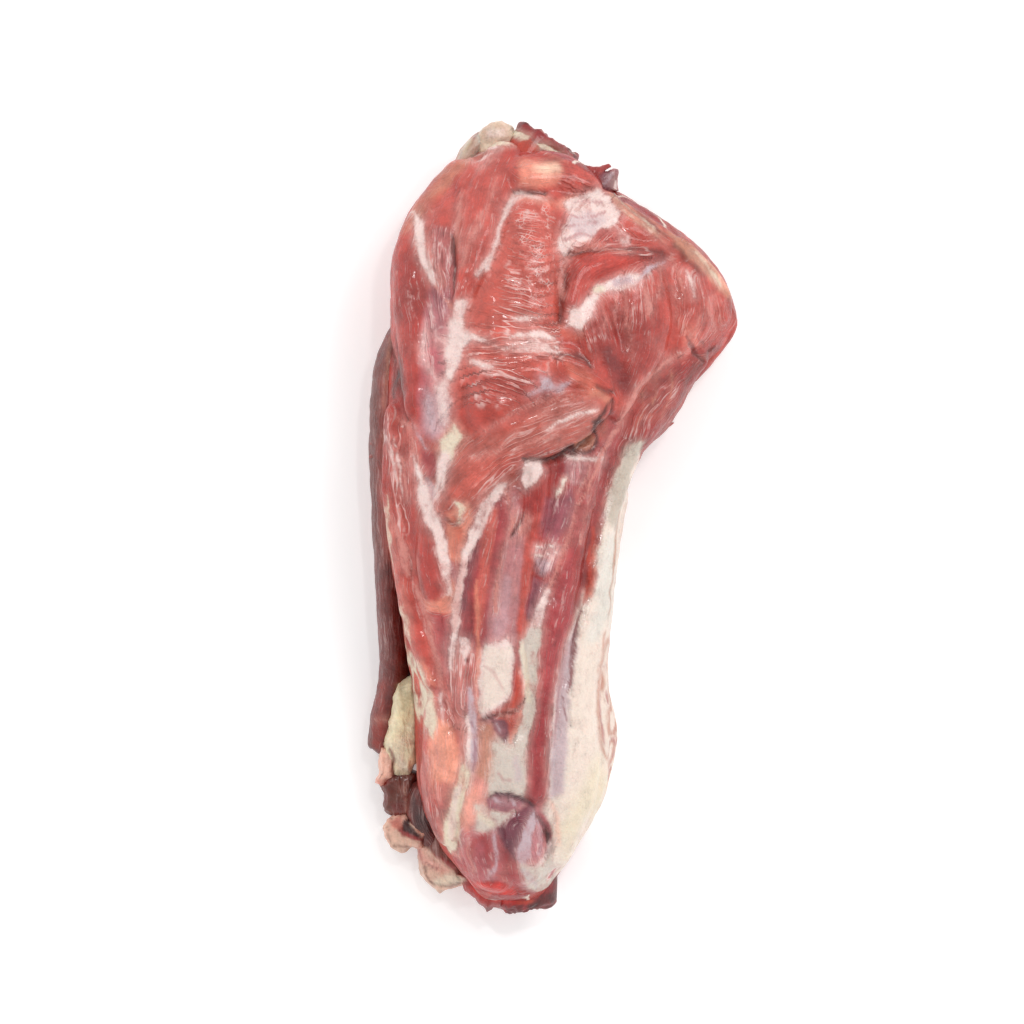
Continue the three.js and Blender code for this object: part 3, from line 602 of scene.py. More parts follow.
# %% Strokes of the wrinkled pad
PAD_STROKES = [
    lean("pad", 0.7, 5, (-16, 108), (0, 108), (2, 84), (2, 52), (-14, 38), (-32, 40), (-32, 70), (-24, 84)),
    lean("deep", 0.4, 4, (-30, 50), (-14, 48), (-4, 50), (-2, 44), (-14, 39), (-30, 38)),
    wrinkled(0.6, 5, (-9, 104, 4), (-9, 92, 5), (-10, 80, 8)),
    wrinkled(1, 5, (-30, 62), (-18, 72), (0, 72), (2, 54), (-12, 50), (-28, 52)),
    wrinkled(0.7, 4, (-32, 52), (-14, 54), (-2, 52), (-6, 42), (-20, 37), (-32, 38)),
    cracked(1, 3, (-15, 108), (-3, 108), (-1, 92), (-6, 88), (-13, 94)),
    cracked(1, 3, (-16, 82), (-10, 87), (-2, 86), (-1, 78), (-10, 76)),
    # The white lines are the pale crests of the folds, with painted highlights on their wet tops
    laid("white", 0.9, 0.9, (-14, 68.6, 0.4), (-10, 68.2, 1), (-5, 69, 0.4)),
    laid("white", 1, 0.8, (-16, 62, 0.3), (-11, 62.6, 0.6), (-6, 63, 1), (0, 61.6, 0.5)),
    laid("white", 0.95, 0.8, (-33, 62.4, 1), (-28, 62, 0.6), (-23, 60.4, 0.5), (-18, 58.6, 0.4), (-12, 59.8, 0.4),
        (-5, 60, 0.4), (1, 58.4, 0.3)),
    laid("white", 0.95, 0.9, (-14, 57.6, 0.3), (-9, 57.8, 0.9), (-4, 58.4, 0.8), (1, 56.6, 0.4)),
    laid("white", 0.8, 1, (-28, 54, 0.6), (-25, 52.4, 0.9), (-21, 51.6, 0.4)),
    laid("lilac", 0.9, 1.2, (-5, 49), (-2, 48.4), (0, 46), (6, 47), (2, 43.4), (-3, 43), (-9, 42), (-4.6, 45.4)),
    lean("orange", 0.45, 2, (2, 67, 1), (4, 63, 1.6), (9, 62.6, 1.4)),
    lean("red", 0.4, 2.5, (0, 70), (5, 66), (12, 62), (10, 58), (2, 60)),
    lean("orange", 0.35, 3, (4, 54), (12, 50), (17, 42), (12, 42), (6, 48)),
]

# %% Strokes of the silver patch
LIFTED = [(14.4, 98.4), (17, 100.2), (20, 99), (21.6, 96), (20, 93), (16.6, 94.6)]
SILVER = [
    laid("white", 0.95, 1.6, (4, 109), (9, 112), (15, 114), (19, 112), (22.4, 106), (22, 102.6), (19, 100.6),
        (15, 99.6), (13, 97), (8, 95), (4, 90), (1.6, 93), (3, 99), (6, 104)),
    glazed("lilac", 0.5, 2, (5, 104), (12, 106), (18, 104), (14, 99), (8, 97)),
    glazed("silver", 0.7, 0.5, (6, 105, 0.3), (12, 104, 0.3), (18, 106, 0.3)),
    glazed("silver", 0.7, 0.5, (4, 96, 0.3), (9, 98.4, 0.3), (14, 97.8, 0.3)),
    glazed("silver", 0.6, 0.5, (7, 109, 0.3), (12, 110, 0.3), (17, 109.4, 0.3)),
    glazed("silver", 0.6, 0.5, (5, 101, 0.3), (10, 101.6, 0.3), (15, 102.6, 0.3)),
    wiped(1, 1, *LIFTED),
    lean("red", 0.4, 1.5, *LIFTED),
    laid("white", 0.6, 1.2, (22.6, 101), (26, 98), (27, 94.6), (24, 94.6), (22.4, 97.6)),
    lean("bright", 0.8, 2, (22, 106), (27, 105), (30, 98), (38, 96), (36, 93), (26, 93), (24, 99)),
    laid("pink", 0.8, 0.7, (4, 90, 0.3), (8, 92, 0.5), (14, 93.6, 0.5), (22, 92.4, 0.4), (28, 91.8, 0.3)),
    hair("pink", 0.6, 0.6, (9, 94), (14, 95.4), (19, 94.4)),
]

# %% Strokes of the tongue and the lobe
LOBE = [
    lean("tongue", 0.9, 2, (4, 74), (3.4, 82), (6.6, 88), (12, 91.4), (20, 91), (27, 90), (21, 86.4), (16, 82),
        (12, 78), (9, 73)),
    lean("shade", 0.6, 0.9, (20, 91, 0.3), (27, 91, 0.5), (34, 90.6, 0.5), (38.6, 89.6, 0.3)),
    lean("shade", 0.5, 1.5, (4, 74, 0.8), (9, 73, 0.8), (12, 77.6, 0.6)),
    laid("pink", 0.7, 0.9, (3, 76, 0.4), (2, 82, 0.6), (4, 88, 0.4)),
    lean("deep", 0.6, 6, (16, 74), (28, 78), (36, 76), (36, 52), (24, 44), (14, 56)),
    lean("shade", 0.85, 3.5, (19, 57), (24, 52), (29, 45), (25.6, 42), (22, 46), (18, 53)),
    lean("shade", 0.5, 2, (13, 58, 1), (17, 58, 1.5), (20, 54, 1.5)),
    lean("bright", 0.6, 4, (38, 90), (50, 90), (60, 78), (62, 68), (54, 60), (44, 64), (40, 78)),
    lean("orange", 0.3, 3, (44, 68), (50, 66), (52, 60), (46, 60)),
    laid("white", 1, 1.1, (5, 66.4), (4.8, 71), (9, 72), (12, 76), (15, 79.6), (19, 81.4), (24, 83.6), (28, 84.8),
        (31, 84), (28.6, 79.8), (22, 79), (17, 78), (14.6, 73), (12, 69), (9, 65.4)),
    glazed("lilac", 0.7, 1, (20, 82), (27, 84), (28, 81.4), (21, 80)),
    glazed("cream", 0.9, 0.8, (14.6, 78.6, 0.8), (17, 79.2, 1)),
    laid("lilac", 0.9, 0.6, (28, 81, 0.4), (30.6, 84.4, 0.6), (34, 87, 0.6), (38.6, 88.8, 0.4)),
    lean("membrane", 0.5, 0.6, (31, 83, 0.3), (34, 86, 0.4), (37, 87.4, 0.3)),
    laid("pink", 0.9, 0.9, (31.6, 80.6), (33.4, 76), (34.4, 71.4), (32.6, 70.4), (31.8, 75)),
    hair("pink", 0.6, 0.7, (37, 88), (37.4, 82), (36, 76), middle=0.5),
    laid("pink", 0.7, 0.7, (41, 91, 0.3), (43, 86, 0.5), (45, 80, 0.5), (45.6, 76, 0.3)),
    laid("white", 0.7, 0.8, (46, 86, 0.3), (48.6, 81, 0.7), (49.4, 77, 0.5)),
    hair("pink", 0.6, 0.6, (41, 80), (43, 75), (43, 70), middle=0.5),
    hair("pink", 0.7, 0.6, (54, 76), (54.6, 71), (57, 66), middle=0.5),
    hair("pink", 0.6, 0.6, (56.6, 77), (57.4, 72), (59, 68)),
    hair("pink", 0.6, 0.6, (51, 70), (50, 66), (47, 62)),
    hair("pink", 0.55, 0.6, (17, 75), (18, 70), (17.6, 66)),
    hair("pink", 0.55, 0.6, (21, 77), (21.6, 72), (21, 67)),
    hair("pink", 0.55, 0.6, (25, 77), (25.4, 72), (25, 66)),
    hair("pink", 0.4, 0.6, (26, 66), (27, 60), (27.6, 55)),
    hair("pink", 0.4, 0.6, (34, 62), (36, 58), (40, 55)),
    lean("shade", 0.7, 0.6, (46.6, 62.6, 0.3), (49.4, 58.4, 0.5), (51.4, 56.6, 0.3)),
    lean("shade", 0.6, 0.6, (49.6, 64.6, 0.3), (51.6, 61.4, 0.4), (52.6, 60, 0.3)),
    lean("tan", 0.9, 1.8, (40, 99.6), (50, 95), (57, 88.6), (61, 82), (62, 76), (58, 80), (54, 84.6), (49, 89),
        (43, 94)),
    lean("salmon", 0.6, 1.5, (52, 91.6, 0.8), (57, 86.6, 1.4), (60, 81.6, 1.2)),
    lean("membrane", 0.55, 1.2, (42, 95, 0.5), (47, 89.6, 1), (52, 84.6, 0.5)),
    laid("cream", 0.8, 0.7, (49.4, 92.4, 0.4), (53, 89, 0.6), (56, 84.6, 0.5), (58.6, 80.6, 0.3)),
    lean("tan", 0.5, 1.5, (20, 114), (28, 109), (36, 102), (40, 98), (34, 99.6), (26, 105), (20, 110)),
    laid("cream", 0.45, 0.4, (20, 112, 0.3), (28, 106.4, 0.3), (37, 98.6, 0.2)),
    laid("cream", 0.4, 0.4, (22, 108.6, 0.2), (30, 102.4, 0.3), (39, 95.6, 0.2)),
    lean("shade", 0.6, 0.5, (24, 109.6, 0.3), (31, 104, 0.3), (37, 99.4, 0.3)),
    lean("shade", 0.5, 0.5, (22, 113, 0.2), (30, 106.4, 0.3), (40, 97.4, 0.2)),
    lean("shade", 0.55, 2, (61.6, 76, 0.5), (64.6, 69, 1.2), (61, 62, 1.2), (56, 57, 1)),
    lean("membrane", 0.45, 1.2, (58, 60, 0.6), (52, 53, 1.5), (47, 46.6, 1.5), (45, 40, 1), (40, 33, 0.8)),
    lean("deep", 0.7, 3, (44, 53), (46, 44), (38, 34), (26, 20), (20, 22), (28, 36), (36, 48)),
    laid("pink", 0.85, 0.8, (46, 57.6, 0.3), (40, 54.4, 0.4), (36, 50.8, 0.5), (31, 46.4, 0.5), (27, 41, 0.6),
        (24.6, 36, 0.6), (22, 31, 0.5), (18.6, 25, 0.5), (16, 19.6, 0.4)),
    hair("tan", 0.5, 0.6, (36, 49), (35.4, 42), (33.6, 35), middle=0.3),
    hair("tan", 0.5, 0.6, (41, 50), (41, 43), (38, 35), middle=0.3),
    hair("tan", 0.45, 0.6, (31, 43), (31, 37), (28, 30), middle=0.3),
    lean("rosy", 0.6, 2, (20, 36, 1.5), (21, 28, 1.5), (17, 20, 1.5)),
]

# %% Strokes of the folded flap and what shows under its edge
FLAP = [
    lean("flap", 0.95, 2, (-24, 21), (-8, 33), (8, 40), (16, 40), (14, 33), (4, 26), (-8, 20.6), (-16, 14), (-22, 9),
        (-34, 2), (-37, 8)),
    lean("pad", 0.9, 4, (-34, 7, 2), (-27, 14, 3), (-19, 20, 2)),
    laid("pink", 0.8, 0.7, (-28, 20.6, 0.3), (-21, 22, 0.4), (-16, 26, 0.4), (-12, 28.6, 0.3)),
    laid("pink", 0.6, 0.7, (-24, 29.6, 0.3), (-17, 33.6, 0.4), (-10, 38, 0.4), (2, 41, 0.4), (11, 42.6, 0.3)),
    laid("white", 0.9, 0.6, (-2, 30.4, 0.3), (3, 33, 0.4), (8, 35.6, 0.4), (14, 36.8, 0.3)),
    hair("pink", 0.6, 0.6, (-12, 24), (-6, 26.6), (1, 28)),
    hair("pink", 0.5, 0.6, (-8, 33), (-2, 36.4), (6, 39)),
    # Painted shade just under the flap's lower edge
    lean("deep", 0.5, 1.5, (-20, 14, 0.8), (-10, 21.6, 0.8), (0, 22.6, 0.8)),
    lean("tan", 0.8, 1, (6.6, 24.6), (9, 27), (13, 29), (15, 26.4), (12, 23.6), (8.4, 22.6)),
    lean("tan", 0.5, 1.5, (14, 43, 1.2), (18, 41, 1.2)),
    # A painted shadow: the dark line under the folded flap's lower edge, in the darkest red
    lean("blood", 0.9, 0.8, (-10.6, 20.4, 0.3), (-6, 19.8, 0.5), (0, 20.6, 0.5), (4.6, 23.8, 0.6), (6.6, 24.6, 0.6),
        (7.6, 22, 0.5), (12, 22.6, 0.4), (15.4, 26.4, 0.4), (14, 31.6, 0.5), (17.4, 36, 0.5), (19.6, 40.6, 0.3)),
    lean("blood", 0.8, 0.6, (13, 32.6, 0.4), (15, 33, 0.6), (17.4, 33.4, 0.3)),
    lean("shade", 0.5, 1, (-36, 3, 0.5), (-33.6, -1, 0.8), (-30, 2.6, 0.4)),
    lean("deep", 0.9, 2, (-12, 18), (-3, 18.6), (2, 19), (0, 8), (-3, -4), (-6, -12), (-9, -6), (-12, 6)),
    lean("red", 0.35, 2, (-9, 9), (-3, 9), (-3.6, 0), (-8, 1)),
    laid("white", 0.95, 0.9, (-10, 18.6), (-4.6, 18.6), (-4, 15.4), (-6.4, 12), (-9.6, 9.6), (-11, 13)),
    lean("red", 0.5, 0.6, (-9, 17, 0.3), (-7.6, 13, 0.4)),
    lean("silver", 0.9, 1.5, (4, 20), (12, 20.4), (15, 17), (11, 11.4), (6.4, 11), (4.4, 14)),
    laid("white", 0.9, 0.8, (3.6, 21.6, 0.5), (8, 20.4, 0.8), (12, 20, 0.6), (17, 20.2, 0.5)),
    laid("fat", 0.95, 0.5, (0.2, 6, 0.3), (2, 9, 0.8), (3.6, 13, 0.3)),
    laid("pink", 0.9, 0.7, (16.4, 20.4, 0.4), (14, 15, 0.6), (11.6, 9, 0.5), (9, 4, 0.4)),
    hair("pink", 0.7, 0.5, (12.6, 17), (10.6, 12), (8, 7)),
]

# %% Strokes of the central seam and the left flank
LEFT = [
    lean("deep", 0.6, 2, (-52, 62), (-48, 60), (-47, 42), (-49, 32), (-52, 34), (-53, 46)),
    # Painted shade along the crease down the left flank
    lean("blood", 0.75, 1.4, (-56, 60, 0.6), (-54.4, 54, 1), (-53.4, 47, 1), (-53, 41, 0.5)),
    lean("shade", 0.6, 2, (-57, 66, 1), (-57, 56, 1.4), (-55.6, 46, 1.4), (-55, 40, 1)),
    lean("bright", 0.5, 3, (-58, 34), (-52, 34), (-49, 14), (-50, -4), (-56, -4), (-58, 14)),
    wrinkled(1, 3, (-58, 34), (-52, 34), (-50, 14), (-51, -6), (-56, -4), (-58, 14)),
    lean("magenta", 0.85, 2.5, (-42, 80), (-36, 78), (-35, 62), (-38, 48), (-37, 32), (-40, 25), (-46, 29), (-47, 40),
        (-46, 56), (-45, 70)),
    wrinkled(0.6, 2.5, (-42, 80), (-36, 78), (-35, 62), (-38, 48), (-44, 50), (-46, 56), (-45, 70)),
    lean("purple", 0.5, 3, (-43, 77), (-38, 76), (-37, 66), (-41, 62), (-43.4, 68)),
    lean("magenta", 0.8, 1.5, (-41.6, 58.6), (-38.4, 58), (-37.6, 52), (-39.6, 48.6), (-41.6, 52)),
    lean("lilac", 0.6, 3, (-45, 40), (-40, 43), (-37, 40), (-37.6, 31), (-42, 27), (-45, 31)),
    laid("white", 0.75, 2, (-37.6, 48.4), (-36.2, 44), (-36.4, 31), (-38.6, 33), (-40, 40), (-41.4, 45)),
    laid("lilac", 0.5, 2, (-44.4, 44, 0.6), (-43, 37, 1.4), (-42, 31, 1)),
    laid("white", 1, 1.6, (-30.6, 75), (-33.6, 74), (-36.4, 66), (-37.6, 59), (-37, 52), (-37.6, 47.6), (-35.6, 47.4),
        (-33.6, 53), (-31.6, 58.6), (-28.6, 62), (-31.6, 64.6)),
    laid("cream", 1, 1.2, (-39.6, 26), (-37, 28), (-34.4, 31.6), (-31.4, 27.6), (-34.4, 23.6), (-36, 20),
        (-39, 21.4)),
    laid("white", 1, 1.6, (-38, 21, 1.4), (-38.8, 16, 1.4), (-39.8, 11, 1.3), (-40.6, 6, 0.5)),
    lean("pale_lilac", 0.6, 2.5, (-45, 68, 0.3), (-44.6, 62, 0.8), (-45, 57, 1.3), (-44.4, 52.6, 0.9),
        (-41.6, 48.6, 0.7), (-39.6, 45, 0.6)),
    laid("white", 0.5, 1, (-45, 64, 0.2), (-45.4, 58, 0.6), (-44.4, 52.6, 0.4), (-40.6, 47, 0.3)),
    laid("white", 0.5, 0.6, (-42.6, 74, 0.2), (-41.6, 67, 0.3), (-41, 60, 0.2)),
    laid("white", 0.7, 1, (-41, 63, 0.3), (-38.6, 60.4, 0.7), (-36.6, 58, 0.5)),
    laid("lilac", 0.7, 0.9, (-48, 31, 0.3), (-46.4, 27.6, 0.6), (-44.6, 23.6, 0.4)),
    laid("pink", 0.7, 0.9, (-54, 34.6, 0.3), (-51, 31.6, 0.7), (-49.4, 27, 0.6), (-48.6, 20, 0.4)),
    lean("rosy", 0.9, 1.5, (-46, 23), (-41, 22), (-40.6, 14), (-43.6, 13), (-46, 17)),
    lean("lilac", 0.7, 1.2, (-44, 12.6, 0.6), (-42.6, 10, 1.4), (-42, 7, 0.8)),
    laid("white", 1, 1.3, (-48.6, 20.6), (-47.4, 12), (-46.4, 5), (-44.6, -1), (-42, -6), (-40, -12), (-38.8, -19),
        (-37.4, -27.4), (-36, -27), (-36, -20), (-37.2, -11), (-38.4, -4.6), (-41, 1), (-43.2, 7), (-45.4, 14)),
    lean("deep", 0.6, 1.5, (-50, 6, 0.6), (-49.4, -4, 0.8), (-48.6, -14, 0.8)),
    lean("orange", 0.95, 1.5, (-36.6, 1), (-30, 4), (-28, 0), (-30.6, -8), (-31.6, -16), (-36, -15.6), (-37, -8)),
    lean("rust", 0.4, 2, (-34.6, 0, 0.8), (-33, -6, 1.2), (-34, -12, 0.8)),
    lean("silver", 0.7, 1.5, (-36, -16.6, 0.5), (-34.6, -19, 1.2), (-34, -22, 0.8)),
    laid("cream", 0.9, 0.8, (-34, 4.6, 0.4), (-32.4, 4.4, 0.9), (-31.6, 1, 0.8), (-32.6, -1.6, 0.3)),
    lean("blood", 0.6, 0.7, (-37, -1.4, 0.3), (-34, -2.6, 0.5), (-31.6, -1, 0.3)),
    lean("red", 0.5, 1.5, (-46.6, -10), (-41, -9), (-38.6, -20), (-39, -26), (-43, -28.6), (-46.4, -26)),
    lean("shade", 0.5, 1.2, (-47.4, -12, 0.4), (-46.8, -20, 0.6), (-45.6, -26, 0.5)),
    lean("orange", 0.9, 1.2, (-45.4, -29.6), (-41, -30), (-38, -27.4), (-35, -22), (-33.4, -26), (-35, -33),
        (-40, -34), (-44, -32.6)),
    lean("rosy", 0.9, 1.5, (-43, -34), (-37, -35), (-36.8, -46), (-39, -56), (-40.6, -50), (-41.6, -42)),
    laid("white", 1, 1.2, (-16.4, 12), (-20, 10), (-25, 4.4), (-29, -4), (-31.4, -13), (-33, -22), (-34.8, -32),
        (-36.2, -44), (-36.8, -54), (-35, -54), (-34, -44), (-33, -34), (-31.6, -24), (-29.6, -14), (-26, -7),
        (-23, -1), (-19.4, 5.4)),
    glazed("pink", 0.5, 1.2, (-31, -16, 0.8), (-33, -26, 0.8), (-35, -40, 0.8)),
    laid("pink", 0.9, 1.2, (-56, -2, 0.3), (-54, -8, 1), (-52, -14, 1.4), (-50.6, -19.6, 0.4)),
    laid("pink", 0.8, 1, (-48, -24, 0.3), (-46, -30, 0.5), (-43.6, -36, 0.8), (-42.4, -43, 0.9), (-40.8, -50, 0.9),
        (-39.4, -57, 0.8), (-38.6, -61, 0.4)),
    hair("white", 0.6, 0.5, (-57, 30), (-56.4, 22), (-55.4, 12)),
    hair("white", 0.6, 0.5, (-54.6, 26), (-53.6, 16), (-52.6, 6)),
    hair("pink", 0.6, 0.5, (-52.4, 20), (-51.6, 12), (-50.8, 6)),
    hair("pink", 0.6, 0.5, (-56, 12), (-54.6, 4), (-53, -2)),
    lean("bright", 0.7, 3, (-50, -30, 2), (-47, -44, 2), (-44, -56, 1.5)),
    laid("cream", 0.75, 0.9, (-60, 4, 0.3), (-58.4, -8, 0.5), (-56, -18, 0.5), (-53, -30, 0.5), (-51, -40, 0.5),
        (-50, -50, 0.5)),
    laid("cream", 0.9, 1.2, (-51, -48), (-48, -50), (-45, -56), (-42.4, -64), (-41, -72), (-41.6, -78), (-43.6, -76),
        (-45.6, -66), (-49, -58)),
    lean("orange", 0.6, 1.2, (-46, -51, 0.4), (-43.6, -55, 0.8), (-41.4, -59, 0.8)),
    lean("red", 0.7, 1, (-42, -59, 0.6), (-40.4, -61.6, 1), (-39, -59, 0.5)),
    laid("white", 0.7, 0.9, (-39.4, -62, 0.5), (-39, -67, 0.9), (-38.6, -72, 0.4)),
]

# %% Strokes of the long strips down the middle
SILVER_BRIDGE = [(-6.8, -11), (-4, -9.4), (3, -9), (2.4, -14), (-0.6, -19), (-3, -21.6), (-7, -18.6)]
STRIPS = [
    lean("rosy", 0.8, 2, (-20, 6), (-16.6, 8), (-16, -2), (-19, -16), (-21.6, -30), (-23, -42), (-32.6, -42),
        (-31.6, -26), (-28.4, -12)),
    lean("plum", 0.5, 1.5, (-28, -12, 0.8), (-30, -22, 1), (-31.4, -32, 0.8)),
    lean("pad", 0.85, 1.5, (-21, 2, 1.5), (-23, -10, 2), (-25, -24, 1.6), (-26.6, -40, 1.2)),
    lean("orange", 0.8, 0.7, (-26.6, -22, 0.3), (-26.6, -36, 0.6), (-26.2, -50, 0.8), (-26.6, -64, 0.6),
        (-25.4, -72, 0.5)),
    lean("shade", 0.6, 0.5, (-28.6, -24, 0.3), (-28.8, -34, 0.4), (-28.4, -42, 0.3)),
    lean("silver", 0.95, 1.2, (-16, -9), (-11.4, -8), (-11.2, -20), (-12.6, -34), (-13.4, -46), (-23.6, -46),
        (-22.6, -34), (-20.4, -22), (-18.4, -14)),
    lean("lilac", 0.35, 2, (-16, -22, 1.2), (-18, -32, 2), (-19, -40, 2.2)),
    laid("white", 1, 1.2, (-23.6, -45), (-16, -42.6), (-14.2, -48), (-14.8, -58), (-16.4, -64), (-20, -66.4),
        (-24.4, -70), (-26, -67), (-25.6, -58), (-25, -50)),
    glazed("fat", 0.8, 2, (-24, -46), (-15, -46), (-15, -60), (-20, -65), (-25, -68)),
    glazed("silver", 0.35, 0.6, (-24, -52, 0.3), (-21, -54, 0.4), (-18, -60, 0.3)),
    laid("pink", 0.85, 0.6, (-17, 9, 0.4), (-15.6, 4, 0.3), (-14.6, -2, 0.4), (-16.4, -8, 0.4), (-18.4, -14, 0.4),
        (-20, -24, 0.5), (-20.6, -33, 0.3)),
    hair("pink", 0.7, 0.5, (-12.6, 1), (-14.6, -4), (-15.6, -8)),
    lean("shade", 0.85, 0.6, (-10.2, 1.4), (-11.6, -2), (-14.6, -7.6), (-15.2, -6), (-13.4, -2), (-11.4, 1)),
    laid("pink", 0.9, 0.7, (-9.6, 0.6), (-8, -1.6), (-10.6, -6.6), (-12.6, -8.2), (-11.6, -5)),
    lean("bright", 0.8, 1.2, (-5.4, 0, 0.8), (-8, -10, 1.4), (-9.6, -20, 1.4), (-10.6, -30, 1.2), (-11.8, -40, 1)),
    lean("red", 0.3, 1.5, (-4, -2, 1), (-7.6, -14, 1), (-9, -22, 0.8)),
    lean("rosy", 0.9, 1.5, (-12, -44, 1.2), (-12.6, -52, 1.4), (-13.4, -60, 1.4)),
    lean("rust", 0.8, 1.5, (-13, -52), (-10.4, -54), (-9.8, -62), (-11.6, -70), (-15, -78), (-17.4, -72), (-21, -69),
        (-18, -66.6), (-14.6, -64)),
    lean("orange", 0.7, 0.9, (-10.4, -54, 0.4), (-10.2, -64, 0.6), (-12.4, -72, 0.6), (-15, -78, 0.4)),
    hair("pink", 0.7, 0.5, (-21, -68.4), (-17, -69.4), (-13.4, -70), middle=0.3),
    hair("pink", 0.6, 0.5, (-18, -66.6), (-13.6, -67.4), (-11, -65), middle=0.3),
    lean("shade", 0.8, 0.7, (-25.4, -70.6, 0.4), (-22, -70, 0.5), (-19, -68, 0.4)),
    lean("plum", 0.95, 1, (-21.6, -70.4), (-17.4, -70.6), (-15.6, -74), (-16.4, -79), (-18.6, -76.6), (-21, -74)),
    # A painted highlight: the glint in this shiny purple hollow
    laid("lilac", 0.6, 0.6, (-20, -72, 0.3), (-18.6, -75, 0.4)),
    lean("purple", 0.7, 2, (-3, 6), (2, 6), (6, 10), (8, 4), (5, -4), (0, -9), (-4, -7), (-3.6, 0)),
    lean("plum", 0.3, 2, (0, 8, 1), (0, 0, 1.4), (-2, -5, 1)),
    lean("silver", 0.95, 0.9, *SILVER_BRIDGE),
    wrinkled(0.8, 1.5, *SILVER_BRIDGE),
    lean("lilac", 0.6, 1, (-5.6, -15, 1), (-3, -17, 1.6), (-4, -19.6, 0.8)),
    laid("white", 1, 0.4, (-6, -10.6, 0.4), (-3, -10.8, 0.4), (0, -9.8, 0.4)),
    lean("shade", 0.6, 0.4, (-6.4, -11.8, 0.3), (-2, -12, 0.3), (1, -10.8, 0.3)),
    laid("white", 1, 0.4, (-6.4, -13.4, 0.4), (-2.6, -13.6, 0.4), (1, -12.4, 0.4)),
    lean("purple", 0.85, 1.5, (-7, -21), (-2, -23), (-4, -30), (-6.6, -35), (-9.6, -36), (-9, -28)),
    lean("plum", 0.5, 1.2, (-6, -24, 0.8), (-7.6, -30, 0.8), (-8.6, -35, 0.6)),
    lean("rosy", 0.9, 2, (14, 18), (12, 4), (9, -8), (5, -20), (2, -34), (-0.6, -50), (-2.4, -66), (-2.6, -80),
        (-2, -96), (-9.6, -98), (-9.4, -82), (-6.6, -70), (-5.6, -56), (-4.6, -42), (-2, -30), (3, -14), (8, 0)),
    lean("deep", 0.75, 2, (17, 16), (21, 16), (17, 0), (13, -12), (9, -32), (6, -28), (8, -12), (12, 4)),
    lean("shade", 0.5, 1.5, (12, 0, 0.6), (11.4, -12, 0.8), (10, -24, 0.6)),
    lean("rust", 0.85, 0.9, (13.8, -4, 0.5), (13.2, -14, 1.1), (12.8, -23, 1.3), (11, -30, 0.6)),
    lean("orange", 0.6, 0.7, (14.8, -10, 0.3), (14.4, -20, 0.5), (13, -28, 0.6)),
    laid("pink", 0.85, 0.8, (8, 3, 0.3), (6.4, -3, 0.5), (4.4, -9, 0.9), (2.6, -14, 0.7), (0.4, -20, 0.7),
        (-2, -25, 0.8)),
    hair("pink", 0.6, 0.4, (13, 10), (11, 0), (9, -9), middle=0.3),
    laid("white", 0.95, 0.9, (-2.4, -26, 0.8), (-4.2, -31, 1.3), (-5.8, -36, 1.3), (-7.4, -40.6, 1.3)),
    laid("pale", 1, 0.9, (-6.6, -38), (-4.4, -40), (-5.4, -50), (-6.2, -60), (-7.2, -70), (-10, -80), (-12, -88),
        (-15, -84), (-13, -76), (-10.4, -68), (-9.8, -58), (-11.6, -50), (-12, -44), (-9, -41)),
    glazed("cream", 0.7, 1, (-11, -45, 0.8), (-9.6, -54, 0.8), (-9, -64, 0.8)),
    lean("shade", 0.6, 0.5, (-9, -42.6, 0.5), (-8.6, -44, 0.3)),
    lean("pink", 0.6, 2, (-34.6, -44), (-28, -44), (-27, -60), (-27, -74), (-37, -74), (-36.6, -58)),
    lean("red", 0.35, 1, (-29, -50, 0.5), (-30, -60, 0.8), (-29, -70, 0.6)),
    lean("red", 0.3, 1, (-34, -52, 0.5), (-34, -60, 0.6), (-35, -70, 0.5)),
    laid("white", 0.8, 0.8, (-33, -42), (-29.4, -42.6), (-28.6, -46), (-30.6, -50), (-32, -46)),
    lean("shade", 0.9, 0.4, (-30.2, -49.8, 0.6), (-29.8, -50.2, 0.6)),
    wrinkled(1, 2, (-36, -48), (-27.6, -48), (-27, -60), (-27, -74), (-37, -74), (-37, -58)),
]

